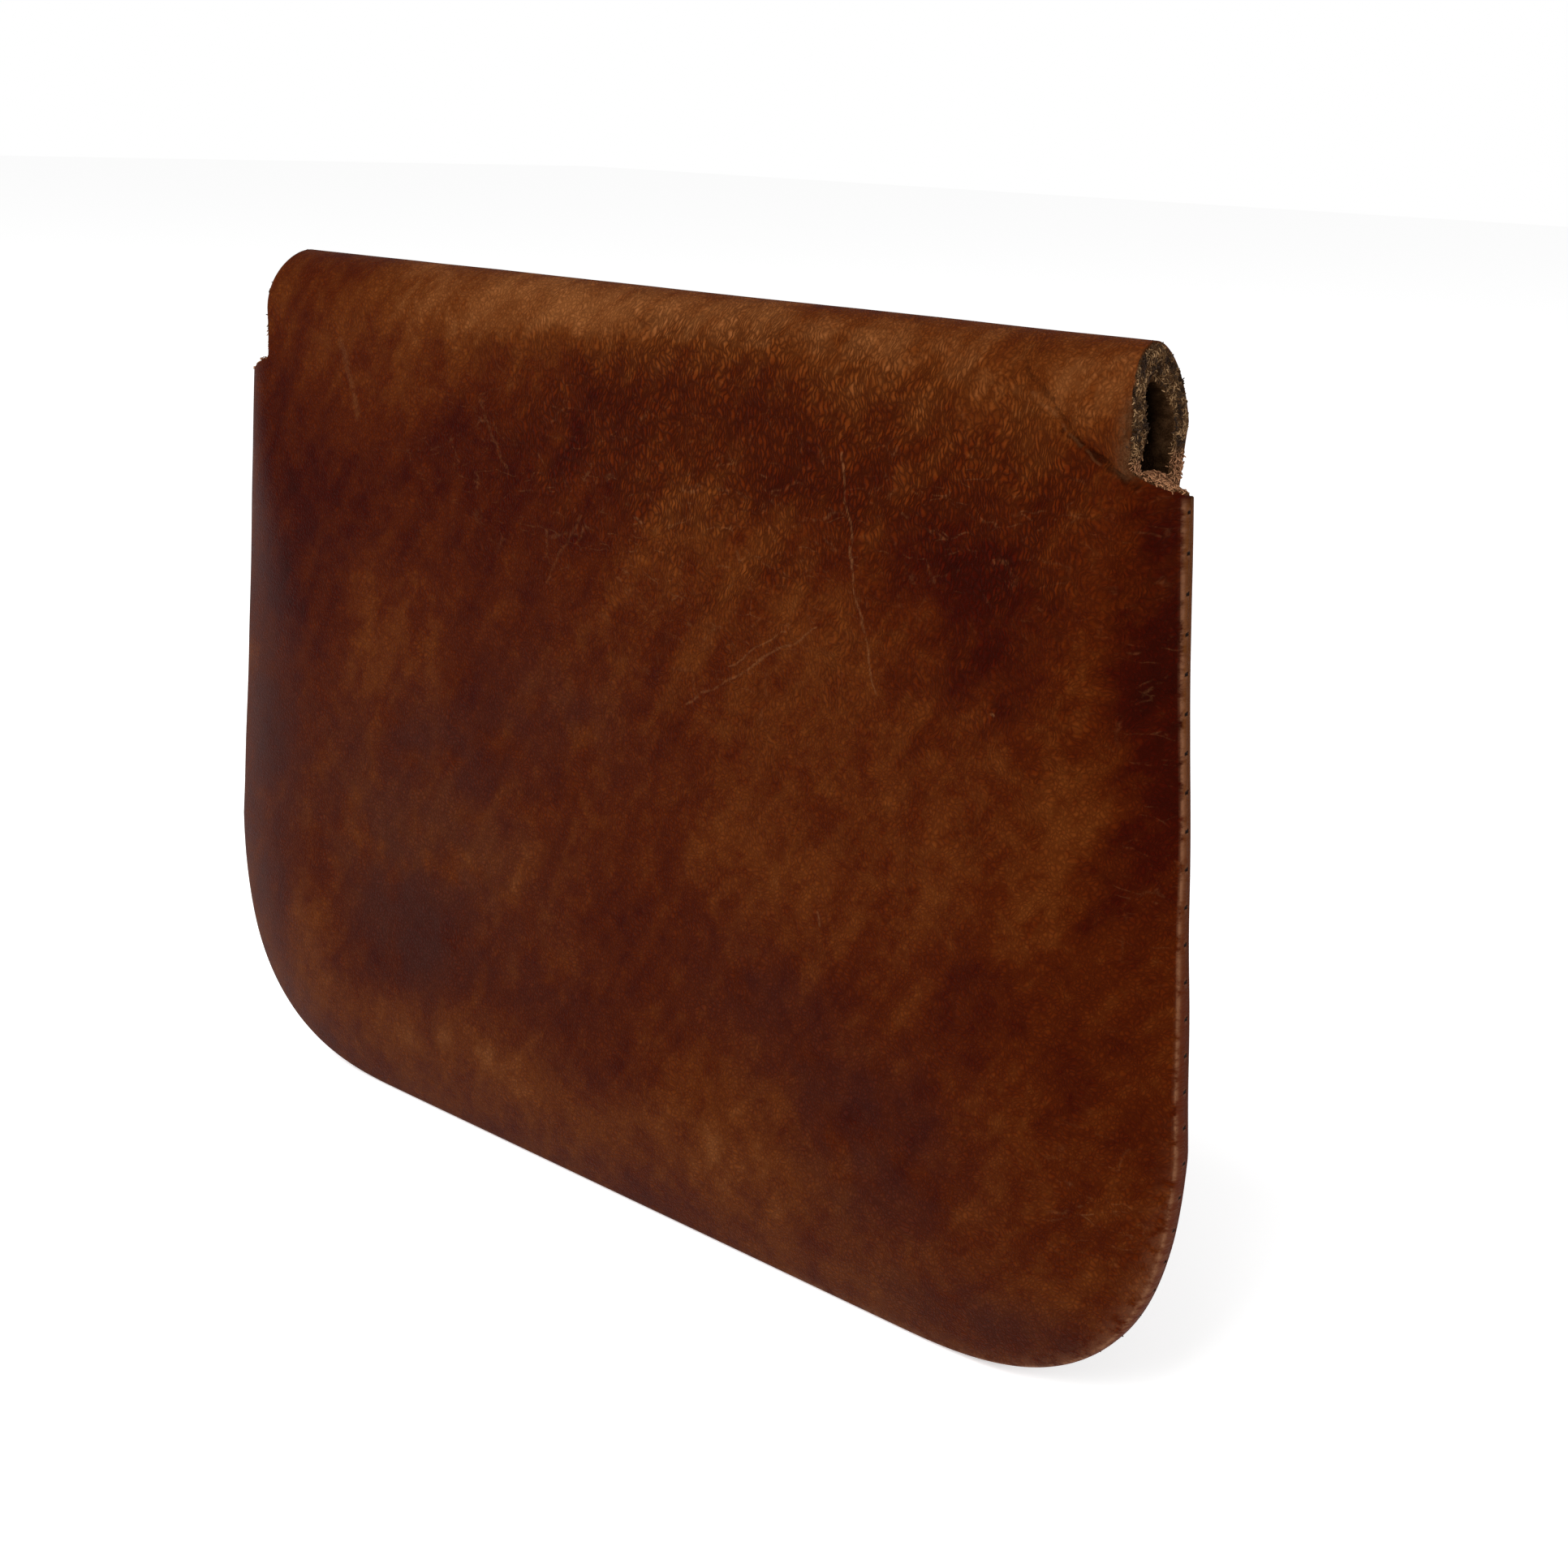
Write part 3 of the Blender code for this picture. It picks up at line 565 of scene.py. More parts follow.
def leatherMaterial(name, scratches, creases, wrinkles, seam):
    material = bpy.data.materials.new(name)
    material.use_nodes = True
    tree = material.node_tree
    shader = tree.nodes["Principled BSDF"]

    def field(label):
        return addNode(tree, "ShaderNodeAttribute", attribute_name=label).outputs

    place = field("lay")["Vector"]
    marble = {"Place": place, "Tone": field("tone")["Fac"], "Cloud": 0.4, "Mottle": 0.5}
    tone = useGroup(tree, marbleGroup, marble)["Tone"]
    grain = useGroup(
        tree, grainGroup, {"Place": place, "Wrinkle": field("wrinkle")["Fac"] if wrinkles else 0.25, "Pores": 0.8}
    )
    ramp = addNode(tree, "ShaderNodeValToRGB", {"Fac": tone})
    stops = leatherLookAndPaintedLight["ramp"]
    while len(ramp.color_ramp.elements) < len(stops):
        ramp.color_ramp.elements.new(0.5)
    for element, (position, color) in zip(ramp.color_ramp.elements, stops):
        element.position = position
        element.color = color
    color = ramp.outputs["Color"]
    plumNoise = noiseNode(tree, place, 0.2, 3.0, 0.6).outputs["Fac"]
    plum = calc(tree, "MULTIPLY", field("plum")["Fac"], fadeBetween(tree, plumNoise, 0.25, 0.6), clamp=True)
    color = blendColor(tree, calc(tree, "MULTIPLY", plum, 0.75), color, leatherLookAndPaintedLight["plum"])
    # painted shade in the grain valleys and a painted highlight on the grain ridges
    color = blendColor(tree, calc(tree, "MULTIPLY", grain["Valleys"], 0.62), color, leatherLookAndPaintedLight["valley"])
    paintedRidgeHighlight = blendColor(tree, 1.0, color, rgb(2.0, 2.3, 3.2), "MULTIPLY")
    color = blendColor(tree, calc(tree, "MULTIPLY", grain["Ridges"], 0.5), color, paintedRidgeHighlight)
    lines = useGroup(tree, crossingGroup, {"Place": place, "Amount": field("crossing")["Fac"]})["Mask"]
    lines = calc(tree, "MULTIPLY", lines, 0.7)
    def scratchMask(start, end, width):
        return useGroup(tree, scratchGroup, {"Place": place, "From": start, "To": end, "Width": width})["Mask"]

    for start, end, width, strength in scratches:
        mark = scratchMask(start, end, width)
        lines = calc(tree, "MAXIMUM", lines, calc(tree, "MULTIPLY", mark, strength))
    lines = calc(tree, "MULTIPLY", lines, calc(tree, "SUBTRACT", 1.0, calc(tree, "MULTIPLY", grain["Valleys"], 0.9)))
    color = blendColor(tree, calc(tree, "MULTIPLY", lines, 0.62), color, leatherLookAndPaintedLight["pale"])
    height = calc(tree, "MULTIPLY_ADD", lines, 0.02, grain["Height"])

    # each crease dents the height and carries painted shade along it, or a painted highlight for the pale one
    for start, end, width, depth, shade in creases:
        furrow = scratchMask(start, end, width)
        height = calc(tree, "MULTIPLY_ADD", furrow, -depth, height)
        dark = leatherLookAndPaintedLight["furrow"] if shade < 0 else leatherLookAndPaintedLight["pale"]
        color = blendColor(tree, calc(tree, "MULTIPLY", furrow, abs(shade)), color, dark)

    # the turned edge: a lighter strip, redder low down, with a pale arris line that is partly worn leather and partly a
    # painted highlight
    layParts = addNode(tree, "ShaderNodeSeparateXYZ", {0: place}).outputs
    stripColor = blendColor(
        tree, fadeBetween(tree, layParts["Y"], 30.0, 60.0), leatherLookAndPaintedLight["stripLow"], leatherLookAndPaintedLight["stripHigh"]
    )
    streaks = noiseNode(tree, vectorCalc(tree, "MULTIPLY", place, (3.0, 0.6, 3.0)).outputs[0], 1.2, 3.0, 0.6)
    streaked = calc(tree, "MULTIPLY", fadeBetween(tree, streaks.outputs["Fac"], 0.4, 0.7), 0.5)
    stripColor = blendColor(tree, streaked, stripColor, leatherLookAndPaintedLight["streak"])
    color = blendColor(tree, field("strip")["Fac"], color, stripColor)
    # the pale arris line, partly wear and partly painted highlight, broken into chips
    chips = fadeBetween(tree, noiseNode(tree, place, 0.8, 4.0, 0.7).outputs["Fac"], 0.36, 0.6)
    worn = calc(tree, "MULTIPLY", field("worn")["Fac"], chips)
    color = blendColor(tree, worn, color, leatherLookAndPaintedLight["arris"])
    if seam:
        # a short slanting slit at every stitch, painted dark as shade in the hole, with a slightly raised lip below it
        # painted lighter as a highlight
        run, level = field("run")["Fac"], field("level")["Fac"]
        slant = calc(tree, "MULTIPLY_ADD", level, -0.35, run)
        phase = calc(tree, "DIVIDE", calc(tree, "ADD", slant, routeHalf), stitchPitch)
        near = calc(tree, "ABSOLUTE", calc(tree, "SUBTRACT", calc(tree, "FRACT", calc(tree, "ADD", phase, 0.5)), 0.5))
        near = calc(tree, "MULTIPLY", near, stitchPitch)
        across = fadeBetween(tree, calc(tree, "ABSOLUTE", calc(tree, "ADD", level, 0.15)), 0.26, 0.14)
        across = calc(tree, "MULTIPLY", across, field("strip")["Fac"])
        slit = calc(tree, "MULTIPLY", fadeBetween(tree, near, 0.16, 0.05), across)
        lip = calc(tree, "MULTIPLY", fadeBetween(tree, near, 0.5, 0.12), across)
        color = blendColor(tree, calc(tree, "MULTIPLY", lip, 0.35), color, leatherLookAndPaintedLight["arris"])
        color = blendColor(tree, slit, color, leatherLookAndPaintedLight["slit"])
        height = calc(tree, "MULTIPLY_ADD", lip, 0.05, height)
        height = calc(tree, "MULTIPLY_ADD", slit, -0.2, height)

    # flesh side and torn edges; the flesh side inside the closed fold gets painted shade
    fleshTones = {"Place": place, "Dark": leatherLookAndPaintedLight["fleshDark"], "Light": leatherLookAndPaintedLight["fleshLight"]}
    raw = useGroup(tree, fibreGroup, fleshTones)
    flesh = field("flesh")["Fac"]
    aboveMouth = fadeBetween(tree, layParts["Y"], 68.0, 73.0)
    underFold = calc(tree, "MULTIPLY", aboveMouth, fadeBetween(tree, layParts["Y"], 99.0, 90.0))
    fromMiddle = calc(tree, "ABSOLUTE", calc(tree, "SUBTRACT", layParts["X"], snapPlace["x"]))
    offEnds = fadeBetween(tree, fromMiddle, 45.3, 43.8)
    deepInside = calc(tree, "MULTIPLY", offEnds, fadeBetween(tree, fromMiddle, 26.0, 38.0))
    # painted shade: the inner layer under the fold is darkened, most deep inside away from the cut ends
    paintedFoldShadeMask = calc(tree, "MULTIPLY", underFold, fadeBetween(tree, layParts["Z"], 1.15, 1.3))
    paintedFoldShadeMask = calc(tree, "MULTIPLY", paintedFoldShadeMask, calc(tree, "MULTIPLY_ADD", deepInside, 0.72, 0.2))
    rawColor = blendColor(tree, paintedFoldShadeMask, raw["Color"], leatherLookAndPaintedLight["paintedFoldShade"])
    color = blendColor(tree, flesh, color, rawColor)
    color = blendColor(tree, field("cut")["Fac"], color, leatherLookAndPaintedLight["burnish"])
    fleshHeight = calc(tree, "MULTIPLY", raw["Height"], flesh)
    height = calc(tree, "MULTIPLY_ADD", calc(tree, "SUBTRACT", 1.0, flesh), height, fleshHeight)
    bump = addNode(tree, "ShaderNodeBump", {"Height": height, "Strength": 1.0, "Distance": mm})
    tree.links.new(color, shader.inputs["Base Color"])
    tree.links.new(bump.outputs["Normal"], shader.inputs["Normal"])
    rough = calc(tree, "MULTIPLY_ADD", tone, 0.16, leatherLookAndPaintedLight["roughness"] - 0.06)
    rough = calc(tree, "MULTIPLY_ADD", flesh, 0.35, rough, clamp=True)
    tree.links.new(rough, shader.inputs["Roughness"])
    shader.inputs["Specular IOR Level"].default_value = leatherLookAndPaintedLight["specular"]
    shader.inputs["Specular Tint"].default_value = leatherLookAndPaintedLight["sheenTint"]
    return material


backMaterial = leatherMaterial("marbledLeatherBack", backScratches, shoulderCreases, True, True)
pocketMaterial = leatherMaterial("marbledLeatherPocket", [], [], False, True)
flapMaterial = leatherMaterial("marbledLeatherFlap", [], [], False, False)
print("leather materials made")

# the back, up to the top of the fold

backShape = {
    "cornerRows": 70,
    "sideRows": 84,
    "shoulderRows": 16,
    "riseRows": 14,
    "foldRows": 34,
    "middleStep": 0.76,
    "waviness": 0.22,
    "rimRings": 13,
    "tear": 0.2,
}


# The outline of the back on one side, in five runs of points.
def backBorder(side):
    shoulder = purse["rightShoulder"] if side > 0 else purse["leftShoulder"]
    cutTop = purse["rightCut"] if side > 0 else purse["leftCut"]
    foldX = purse["foldRight"] if side > 0 else -purse["foldLeft"]
    corner = purse["corner"]
    low = cornerLine(purse["cornerPower"], corner, purse["halfWidth"] - corner, corner)
    runs = [np.concatenate([low[:1], evenly(low, backShape["cornerRows"])])]
    top = shoulder - 0.5
    runs.append(evenly([(sideLine(corner), corner), (sideLine(top), top)], backShape["sideRows"]))
    turn = np.linspace(0.0, pi / 2, 30)
    out = sideLine(shoulder)
    convex = [(out - 0.5 + 0.5 * cos(a), top + 0.5 * sin(a)) for a in turn]
    concave = [(foldX + 0.4 * (1 - sin(a)), cutTop + 0.4 * (1 - cos(a))) for a in turn]
    shoulderLine = np.array([(sideLine(top), top)] + convex + concave)
    runs.append(evenly(shoulderLine, backShape["shoulderRows"]))
    runs.append(evenly([shoulderLine[-1], (foldX, purse["foldBase"])], backShape["riseRows"]))
    line = np.concatenate(runs)
    line[:, 0] *= side
    return line


def backGrid():
    cols = columnsFrom(edgeInsets, purse["halfWidth"], backShape["middleStep"])
    left, right = backBorder(-1), backBorder(1)
    count = [backShape[k] for k in ("cornerRows", "sideRows", "shoulderRows", "riseRows")]
    middle = np.concatenate([
        right[: count[0] + 1, 1],
        np.linspace(purse["corner"], 70.4, count[1] + 1)[1:],
        np.linspace(70.4, 72.8, count[2] + 1)[1:],
        np.linspace(72.8, purse["foldBase"], count[3] + 1)[1:],
    ])
    side = np.where(cols[None, :] > 0, right[:, 0:1], left[:, 0:1])
    level = np.where(cols[None, :] > 0, right[:, 1:2], left[:, 1:2])
    inset = (1.0 - np.abs(cols))[None, :] * purse["halfWidth"]
    z = middle[:, None] + smooth((14.0 - inset) / 12.0) * (level - middle[:, None])
    half = halfWidth(middle)[:, None]
    x = cols[None, :] * half + smooth((30.0 - inset) / 22.0) * (side - np.sign(cols)[None, :] * half)
    return cols, x, z


print("laying out the back")
cols, xs, zs = backGrid()
foldX = xs[-1]
outerDepth = backDepth(xs, zs)
cutTop = np.where(xs > 0, purse["rightCut"], purse["leftCut"]) - 0.1
edge = edgeDistance(xs, zs)
solid = (1 - smooth((edge - purse["allowance"] - 0.4) / 0.8)) * (1 - smooth((zs - cutTop) / 0.35))
thickness = purse["leather"] + endSwell(foldX) * smooth((zs - 72.8) / 2.4)
innerDepth = mix(outerDepth - thickness, purse["seamPlane"], solid)
innerDepth = np.maximum(innerDepth, purse["seamPlane"])
lastFine = np.array([0.15, 0.5, 1.2, 2.2])
angles = np.concatenate([np.linspace(0, 86, backShape["foldRows"] - 3)[1:], 90 - lastFine[::-1], [90.0]])
angles = np.radians(angles)
rowCount = len(zs)


# Columns along the arch; both cuts lean inwards towards the top.
def foldAcross(angles, across):
    rise = np.sin(angles)[:, None]
    nearLeft = smooth((purse["foldLeft"] + 12.0 - across) / 12.0)[None, :]
    nearRight = smooth((across - purse["foldRight"] + 9.0) / 9.0)[None, :]
    return across[None, :] + purse["leftLean"] * rise**2 * nearLeft - purse["rightLean"] * rise * nearRight


def foldRows(angles, across, inside):
    depth = purse["foldHalfDepth"] - ((purse["leather"] + endSwell(across)) if inside else 0.0)
    ends = np.minimum(purse["foldRight"] - across, across - purse["foldLeft"])
    crowd = mix(purse["bunched"], purse["leather"] + 0.2, smooth((ends - 2.0) / 8.0))
    rise = purse["foldRise"] - (crowd[None, :] if inside else 0.0)
    grid = np.zeros((len(angles), len(across), 3))
    grid[..., 0] = foldAcross(angles, across)
    grid[..., 1] = -depth * np.cos(angles)[:, None]
    grid[..., 2] = purse["foldBase"] + rise * np.sin(angles)[:, None]
    return grid


# Gentle unevenness of the hide's lie.
def wave(u, v):
    return 0.7 * noiseAt(u / 19.0, v / 13.0, 4.0) + 0.3 * noiseAt(u / 7.0, v / 5.5, 7.0)


def foldNormal(angles, across):
    grid = np.zeros((len(angles), len(across), 3))
    grid[..., 1] = -np.cos(angles)[:, None]
    grid[..., 2] = np.sin(angles)[:, None]
    return grid


def segmentDistance(u, v, a, b):
    a, b = np.array(a, float), np.array(b, float)
    along = b - a
    share = np.clip(((u - a[0]) * along[0] + (v - a[1]) * along[1]) / (along @ along), 0, 1)
    return np.hypot(u - a[0] - share * along[0], v - a[1] - share * along[1])


bodyOuter = np.stack([xs, -outerDepth, zs], -1)
bodyInner = np.stack([xs, -innerDepth, zs], -1)
outer = np.concatenate([bodyOuter, foldRows(angles, foldX, False)])
inner = np.concatenate([bodyInner, foldRows(angles, foldX, True)])
u = np.concatenate([xs, foldAcross(angles, foldX)])
v = np.concatenate([zs, np.tile((purse["foldBase"] + foldLength(angles))[:, None], (1, len(cols)))])
facing = np.zeros_like(outer)
facing[:rowCount, :, 1] = -1.0
facing[rowCount:] = foldNormal(angles, foldX)
edgeIn = np.concatenate([edge, np.tile(edge[-1], (len(angles), 1))])
isFold = np.clip((v - 70.0) / 5.0, 0, 1)
calm = mix(smooth(edgeIn / 9.0), 0.35, isFold)
lift = backShape["waviness"] * wave(u, v) * calm
crease = np.minimum(
    segmentDistance(u, v, (47.6, 72.2), (43.4, 74.3)), segmentDistance(u, v, (43.4, 74.3), (38.4, 78.6))
)
crease = crease + 0.25 * noiseAt(u / 1.6, v / 1.6, 21.0)
lift = lift - 0.34 * np.exp(-((crease / 0.42) ** 2)) * smooth((u - 38.0) / 6.0)
aboveCrease = smooth((v - 72.2 + 0.75 * (u - 47.6)) / 2.0)
lift = lift + 0.20 * np.exp(-(((crease - 1.2) / 0.9) ** 2)) * smooth((u - 38.0) / 6.0) * aboveCrease
outer += facing * lift[..., None]
inner += facing * lift[..., None]


# The outline wanders a little, as hand-cut and turned leather does.
def edgeSway(x, z, inset):
    out = 0.16 * noiseAt(x / 9.0, z / 9.0, 2.0) + 0.11 * (x > 0) * smooth((z - 20.0) / 20.0)
    return out * smooth((8.0 - inset) / 8.0) * np.sign(x) * smooth((z - 8.0) / 8.0) * smooth((74.0 - z) / 2.0)


for layer in (outer, inner):
    layer[..., 0] += edgeSway(u, v, edgeIn)
lay = np.stack([u, v, np.zeros_like(u)], -1)

waveU, waveV = noiseAt(u / 9.0, v / 9.0, 11.0), noiseAt(u / 9.0, v / 9.0, 15.0)
shoulderOf = np.where(u > 0, purse["rightShoulder"], purse["leftShoulder"])
sewn = smooth((shoulderOf - 0.4 - v) / 0.3)
# the pale line along the arris: partly worn leather, partly a painted highlight where the edge rolls over; narrower at
# the top right
arrisIn = 0.24 * mix(1.0, 0.5, smooth((v - 28.0) / 24.0) * (u > 0))
strip = smooth((arrisIn - edgeIn) / (0.42 * arrisIn)) * sewn
topNarrowLine = smooth((v - 58.0) / 8.0) * (u > 0)
worn = np.exp(-(((edgeIn - arrisIn) / mix(0.10, 0.07, topNarrowLine)) ** 2)) * sewn
worn += 0.4 * np.exp(-((edgeIn / 1.1) ** 2)) * sewn * smooth((30 - v) / 20.0) * (u > 20)
stepsUp = len(angles)
isRaw = np.zeros_like(u)
shoulderStart = backShape["cornerRows"] + backShape["sideRows"] + 2
isRaw[shoulderStart:-1, :] = 1.0
isRaw[-3:, :] = 0.0
endWear = np.exp(-((np.minimum(np.abs(u - purse["foldRight"]), np.abs(u - purse["foldLeft"])) / 0.35) ** 2))
worn = np.maximum(worn, 0.8 * endWear * smooth((v - 76.5) / 2.0))
fleshNear = np.exp(-((np.abs(u - purse["foldRight"]) / 0.9) ** 2))
fleshNear = fleshNear * smooth((v - 72.0) / 1.0) * smooth((79.0 - v) / 2.5)
fields = {
    "tone": patchField(backPatches["tone"], u, v),
    "plum": np.clip(patchField(backPatches["plum"], u, v), 0, 1),
    "wrinkle": np.clip(patchField(backPatches["wrinkle"], u, v), 0, 1.2),
    "crossing": np.clip(patchField(backPatches["crossing"], u, v), 0, 1),
    "strip": strip,
    "worn": np.clip(worn, 0, 1),
    "run": seamRun(u, v),
    "level": -np.where(v < 75.6, np.concatenate([outerDepth, np.zeros((stepsUp, len(cols)))]), 5.0),
    "flesh": 0.7 * fleshNear,
    "cut": np.zeros_like(u),
}
outer[..., 1] += purse["seamY"]
inner[..., 1] += purse["seamY"]
rim = {
    "rings": backShape["rimRings"],
    "raw": isRaw,
    "cut": np.zeros_like(u),
    "bulge": isRaw * 0.10,
    "tear": backShape["tear"],
    "flip": False,
    "innerFields": {"flesh": 1.0, "strip": 0.0, "worn": 0.0, "level": 5.0},
}
backLeather, backPoints, backFaces, backRaw = buildLeather(
    "backLeather", outer, inner, lay, fields, rim, backMaterial
)

# flap, from the top of the fold

flapShape = {
    "tip": 31.0,
    "standOff": 5.7,
    "settled": 47.0,
    "taper": 3.5,
    "corner": 26.0,
    "cornerPower": 2.3,
    "sideRows": 46,
    "cornerRows": 64,
    "middleStep": 0.8,
}


def flapDepth(z):
    settled = smooth((purse["foldBase"] - z) / (purse["foldBase"] - flapShape["settled"]))
    return mix(purse["foldHalfDepth"] - purse["leather"], flapShape["standOff"], settled)


def flapHalf(z):
    drop = (purse["foldBase"] - z) / (purse["foldBase"] - flapShape["tip"])
    return (purse["foldRight"] - purse["foldLeft"]) / 2 - flapShape["taper"] * drop


print("laying out the flap")
halfFold = (purse["foldRight"] - purse["foldLeft"]) / 2
flapCols = columnsFrom([k * 0.5 for k in range(0, 8)], halfFold, flapShape["middleStep"])
cornerTop = flapShape["tip"] + flapShape["corner"]
turns = np.linspace(0.0, pi / 2, 1500)
power = flapShape["cornerPower"]
cornerSide = np.stack(
    [
        flapShape["corner"] * np.clip(np.cos(turns), 0, 1) ** (2 / power),
        cornerTop - flapShape["corner"] * np.sin(turns) ** (2 / power),
    ],
    axis=1,
)
sideZ = np.linspace(purse["foldBase"], cornerTop, flapShape["sideRows"] + 1)
cornerPoints = evenly(cornerSide, flapShape["cornerRows"])
flapZ = np.concatenate([sideZ, cornerPoints[:, 1]])
reach = np.concatenate([np.full(len(sideZ), flapShape["corner"]), cornerPoints[:, 0]])
flapAngles = np.concatenate([[90.0], 90 + lastFine, np.linspace(94, 180, 30)[:-1]])
flapAngles = np.radians(flapAngles)
halfRow = flapHalf(flapZ) - flapShape["corner"] + reach
flapX = snapPlace["x"] + flapCols[None, :] * halfRow[:, None]
flapArchX = snapPlace["x"] + flapCols * halfFold
flapIn = np.repeat(flapDepth(flapZ)[:, None], len(flapCols), axis=1)
flapZs = np.repeat(flapZ[:, None], len(flapCols), axis=1)
hangOuter = np.stack([flapX, flapIn + purse["leather"], flapZs], -1)
hangSwell = endSwell(flapArchX)[None, :] * smooth((flapZs - 66.0) / 9.6)
hangInner = np.stack([flapX, flapIn - hangSwell, flapZs], -1)
outer = np.concatenate([foldRows(flapAngles, flapArchX, False), hangOuter])
inner = np.concatenate([foldRows(flapAngles, flapArchX, True), hangInner])
u = outer[..., 0].copy()
archV = purse["foldBase"] + foldLength(flapAngles)
foldEnd = purse["foldBase"] + 2 * foldArc[-1]
v = np.concatenate([
    np.tile(archV[:, None], (1, len(flapCols))),
    foldEnd + (purse["foldBase"] - flapZs),
])
facing = np.zeros_like(outer)
facing[: len(flapAngles)] = foldNormal(flapAngles, flapArchX)
facing[len(flapAngles) :, :, 1] = 1.0
isFold = np.clip((foldEnd + 5.0 - v) / 5.0, 0, 1)
lift = backShape["waviness"] * wave(u, v) * mix(0.5, 0.35, isFold)
snapAway = np.hypot(u - snapPlace["x"], (foldEnd + purse["foldBase"] - v) - snapPlace["z"])
lift = lift * smooth((snapAway - 5.0) / 8.0) - 0.18 * np.exp(-((snapAway / 7.5) ** 4))
outer += facing * lift[..., None]
inner += facing * lift[..., None]
lay = np.stack([u, v, np.zeros_like(u)], -1)
half = np.concatenate([np.full(len(flapAngles), halfFold), flapHalf(flapZ)])[:, None]
across = np.maximum(0.0, np.abs(u - snapPlace["x"]) - (half - flapShape["corner"])) / flapShape["corner"]
down = np.clip((v - (foldEnd + purse["foldBase"] - cornerTop)) / flapShape["corner"], 0, 1)
flapEdge = flapShape["corner"] * (1 - (across**power + down**power) ** (1 / power))
isRaw = np.zeros_like(u)
isRaw[2:-1, :] = 1.0
isRaw *= smooth((foldEnd + 22.0 - v) / 12.0)
pinch = np.exp(-(((flapEdge - 2.2) / 0.25) ** 2)) * smooth((v - foldEnd - 14.0) / 8.0)
outer -= facing * (0.12 * pinch)[..., None]
shade = noiseAt(u / 16.0, v / 12.0, 31.0)
waveU, waveV = noiseAt(u / 9.0, v / 9.0, 11.0), noiseAt(u / 9.0, v / 9.0, 15.0)
# the back's patches carry on over the arch, with their painted highlight along the top of the fold
fields = {
    "tone": patchField(backPatches["tone"], u, v) * smooth((foldEnd - v) / 6.0) + 0.35 * shade - 0.2 * pinch,
    "plum": np.clip(noiseAt(u / 14.0, v / 11.0, 35.0), 0, 1),
    "wrinkle": np.clip(patchField(backPatches["wrinkle"], u, v), 0, 1),
    "crossing": np.clip(0.7 * noiseAt(u / 17.0, v / 12.0, 38.0), 0, 1) * smooth((foldEnd + 30.0 - v) / 8.0),
    "strip": np.zeros_like(u),
    "worn": np.clip(0.8 * np.exp(-((flapEdge / 0.3) ** 2)), 0, 1),
    "flesh": np.zeros_like(u),
    "cut": np.zeros_like(u),
}
outer[..., 1] += purse["seamY"]
inner[..., 1] += purse["seamY"]
burnished = (1 - isRaw) * (v > foldEnd)
rim = {
    "rings": 13,
    "raw": isRaw,
    "cut": burnished,
    "bulge": mix(0.1, 0.28, burnished) * (v > purse["foldBase"] + foldArc[-1] + 0.2),
    "tear": 0.2,
    "flip": False,
    "innerFields": {"flesh": 1.0, "worn": 0.0, "crossing": 0.0},
}
flapLeather, flapPoints, flapFaces, flapRaw = buildLeather(
    "flapLeather", outer, inner, lay, fields, rim, flapMaterial
)

# pocket

pocketShape = {"sideRows": 62, "waviness": 0.09}
print("laying out the pocket")
low = cornerLine(purse["cornerPower"], purse["corner"], purse["halfWidth"] - purse["corner"], purse["corner"])
rowZ = np.concatenate([[0.0], evenly(low, backShape["cornerRows"])[:, 1]])
reference = mouth["left"]
rowZ = np.concatenate([rowZ, np.linspace(purse["corner"], reference, pocketShape["sideRows"] + 1)[1:]])
mouthZ = mix(mouth["left"], mouth["right"], (cols + 1) / 2) - mouth["dip"] * (1 - cols**2)
rise = smooth((rowZ - 10.0) / (reference - 10.0))[:, None]
zs = rowZ[:, None] + (mouthZ - reference)[None, :] * rise
xs = cols[None, :] * halfWidth(zs)
outerDepth = frontDepth(xs, zs)
edge = edgeDistance(xs, zs)
solid = (1 - smooth((edge - purse["allowance"] - 0.4) / 0.8)) * (1 - smooth((zs - 66.5) / 0.5))
innerDepth = np.maximum(mix(outerDepth - purse["leather"], purse["seamPlane"], solid), purse["seamPlane"])
lift = pocketShape["waviness"] * wave(xs + 200, zs) * smooth(edge / 9.0)
sway = edgeSway(xs, zs, edge)
outer = np.stack([xs + sway, outerDepth + lift + purse["seamY"], zs], -1)
inner = np.stack([xs + sway, innerDepth + lift + purse["seamY"], zs], -1)
u, v = xs, zs
lay = np.stack([u + 200.0, v, np.zeros_like(u)], -1)
mouthIn = mouthZ[None, :] - zs
sewn = smooth((mouthIn - 0.3) / 0.4)
isRaw = np.zeros_like(u)
burnished = np.zeros_like(u)
burnished[-1, :] = 1.0
isRaw[-1, :] = (np.abs(cols) > 0.93) * 0.7
burnished[-1, :] -= isRaw[-1, :]
mouthPinch = np.exp(-(((mouthIn - 2.2) / 0.25) ** 2)) * smooth((edge - 2.5) / 2.0)
outer[..., 1] -= 0.1 * mouthPinch
pocketWorn = 0.6 * np.exp(-(((edge - 0.5) / 0.2) ** 2)) * sewn + 0.7 * np.exp(-((mouthIn / 0.3) ** 2))
fields = {
    "tone": 0.4 * noiseAt(u / 15.0, v / 12.0, 51.0) - 0.2 * mouthPinch,
    "plum": np.clip(noiseAt(u / 14.0, v / 11.0, 55.0), 0, 1),
    "wrinkle": np.full_like(u, 0.3),
    "crossing": np.clip(noiseAt(u / 17.0, v / 12.0, 58.0), 0, 1) * 0.6,
    "strip": smooth((0.34 - edge) / 0.2) * sewn,
    "worn": np.clip(pocketWorn, 0, 1),
    "run": seamRun(u, v),
    "level": outerDepth,
    "flesh": np.zeros_like(u),
    "cut": np.zeros_like(u),
}
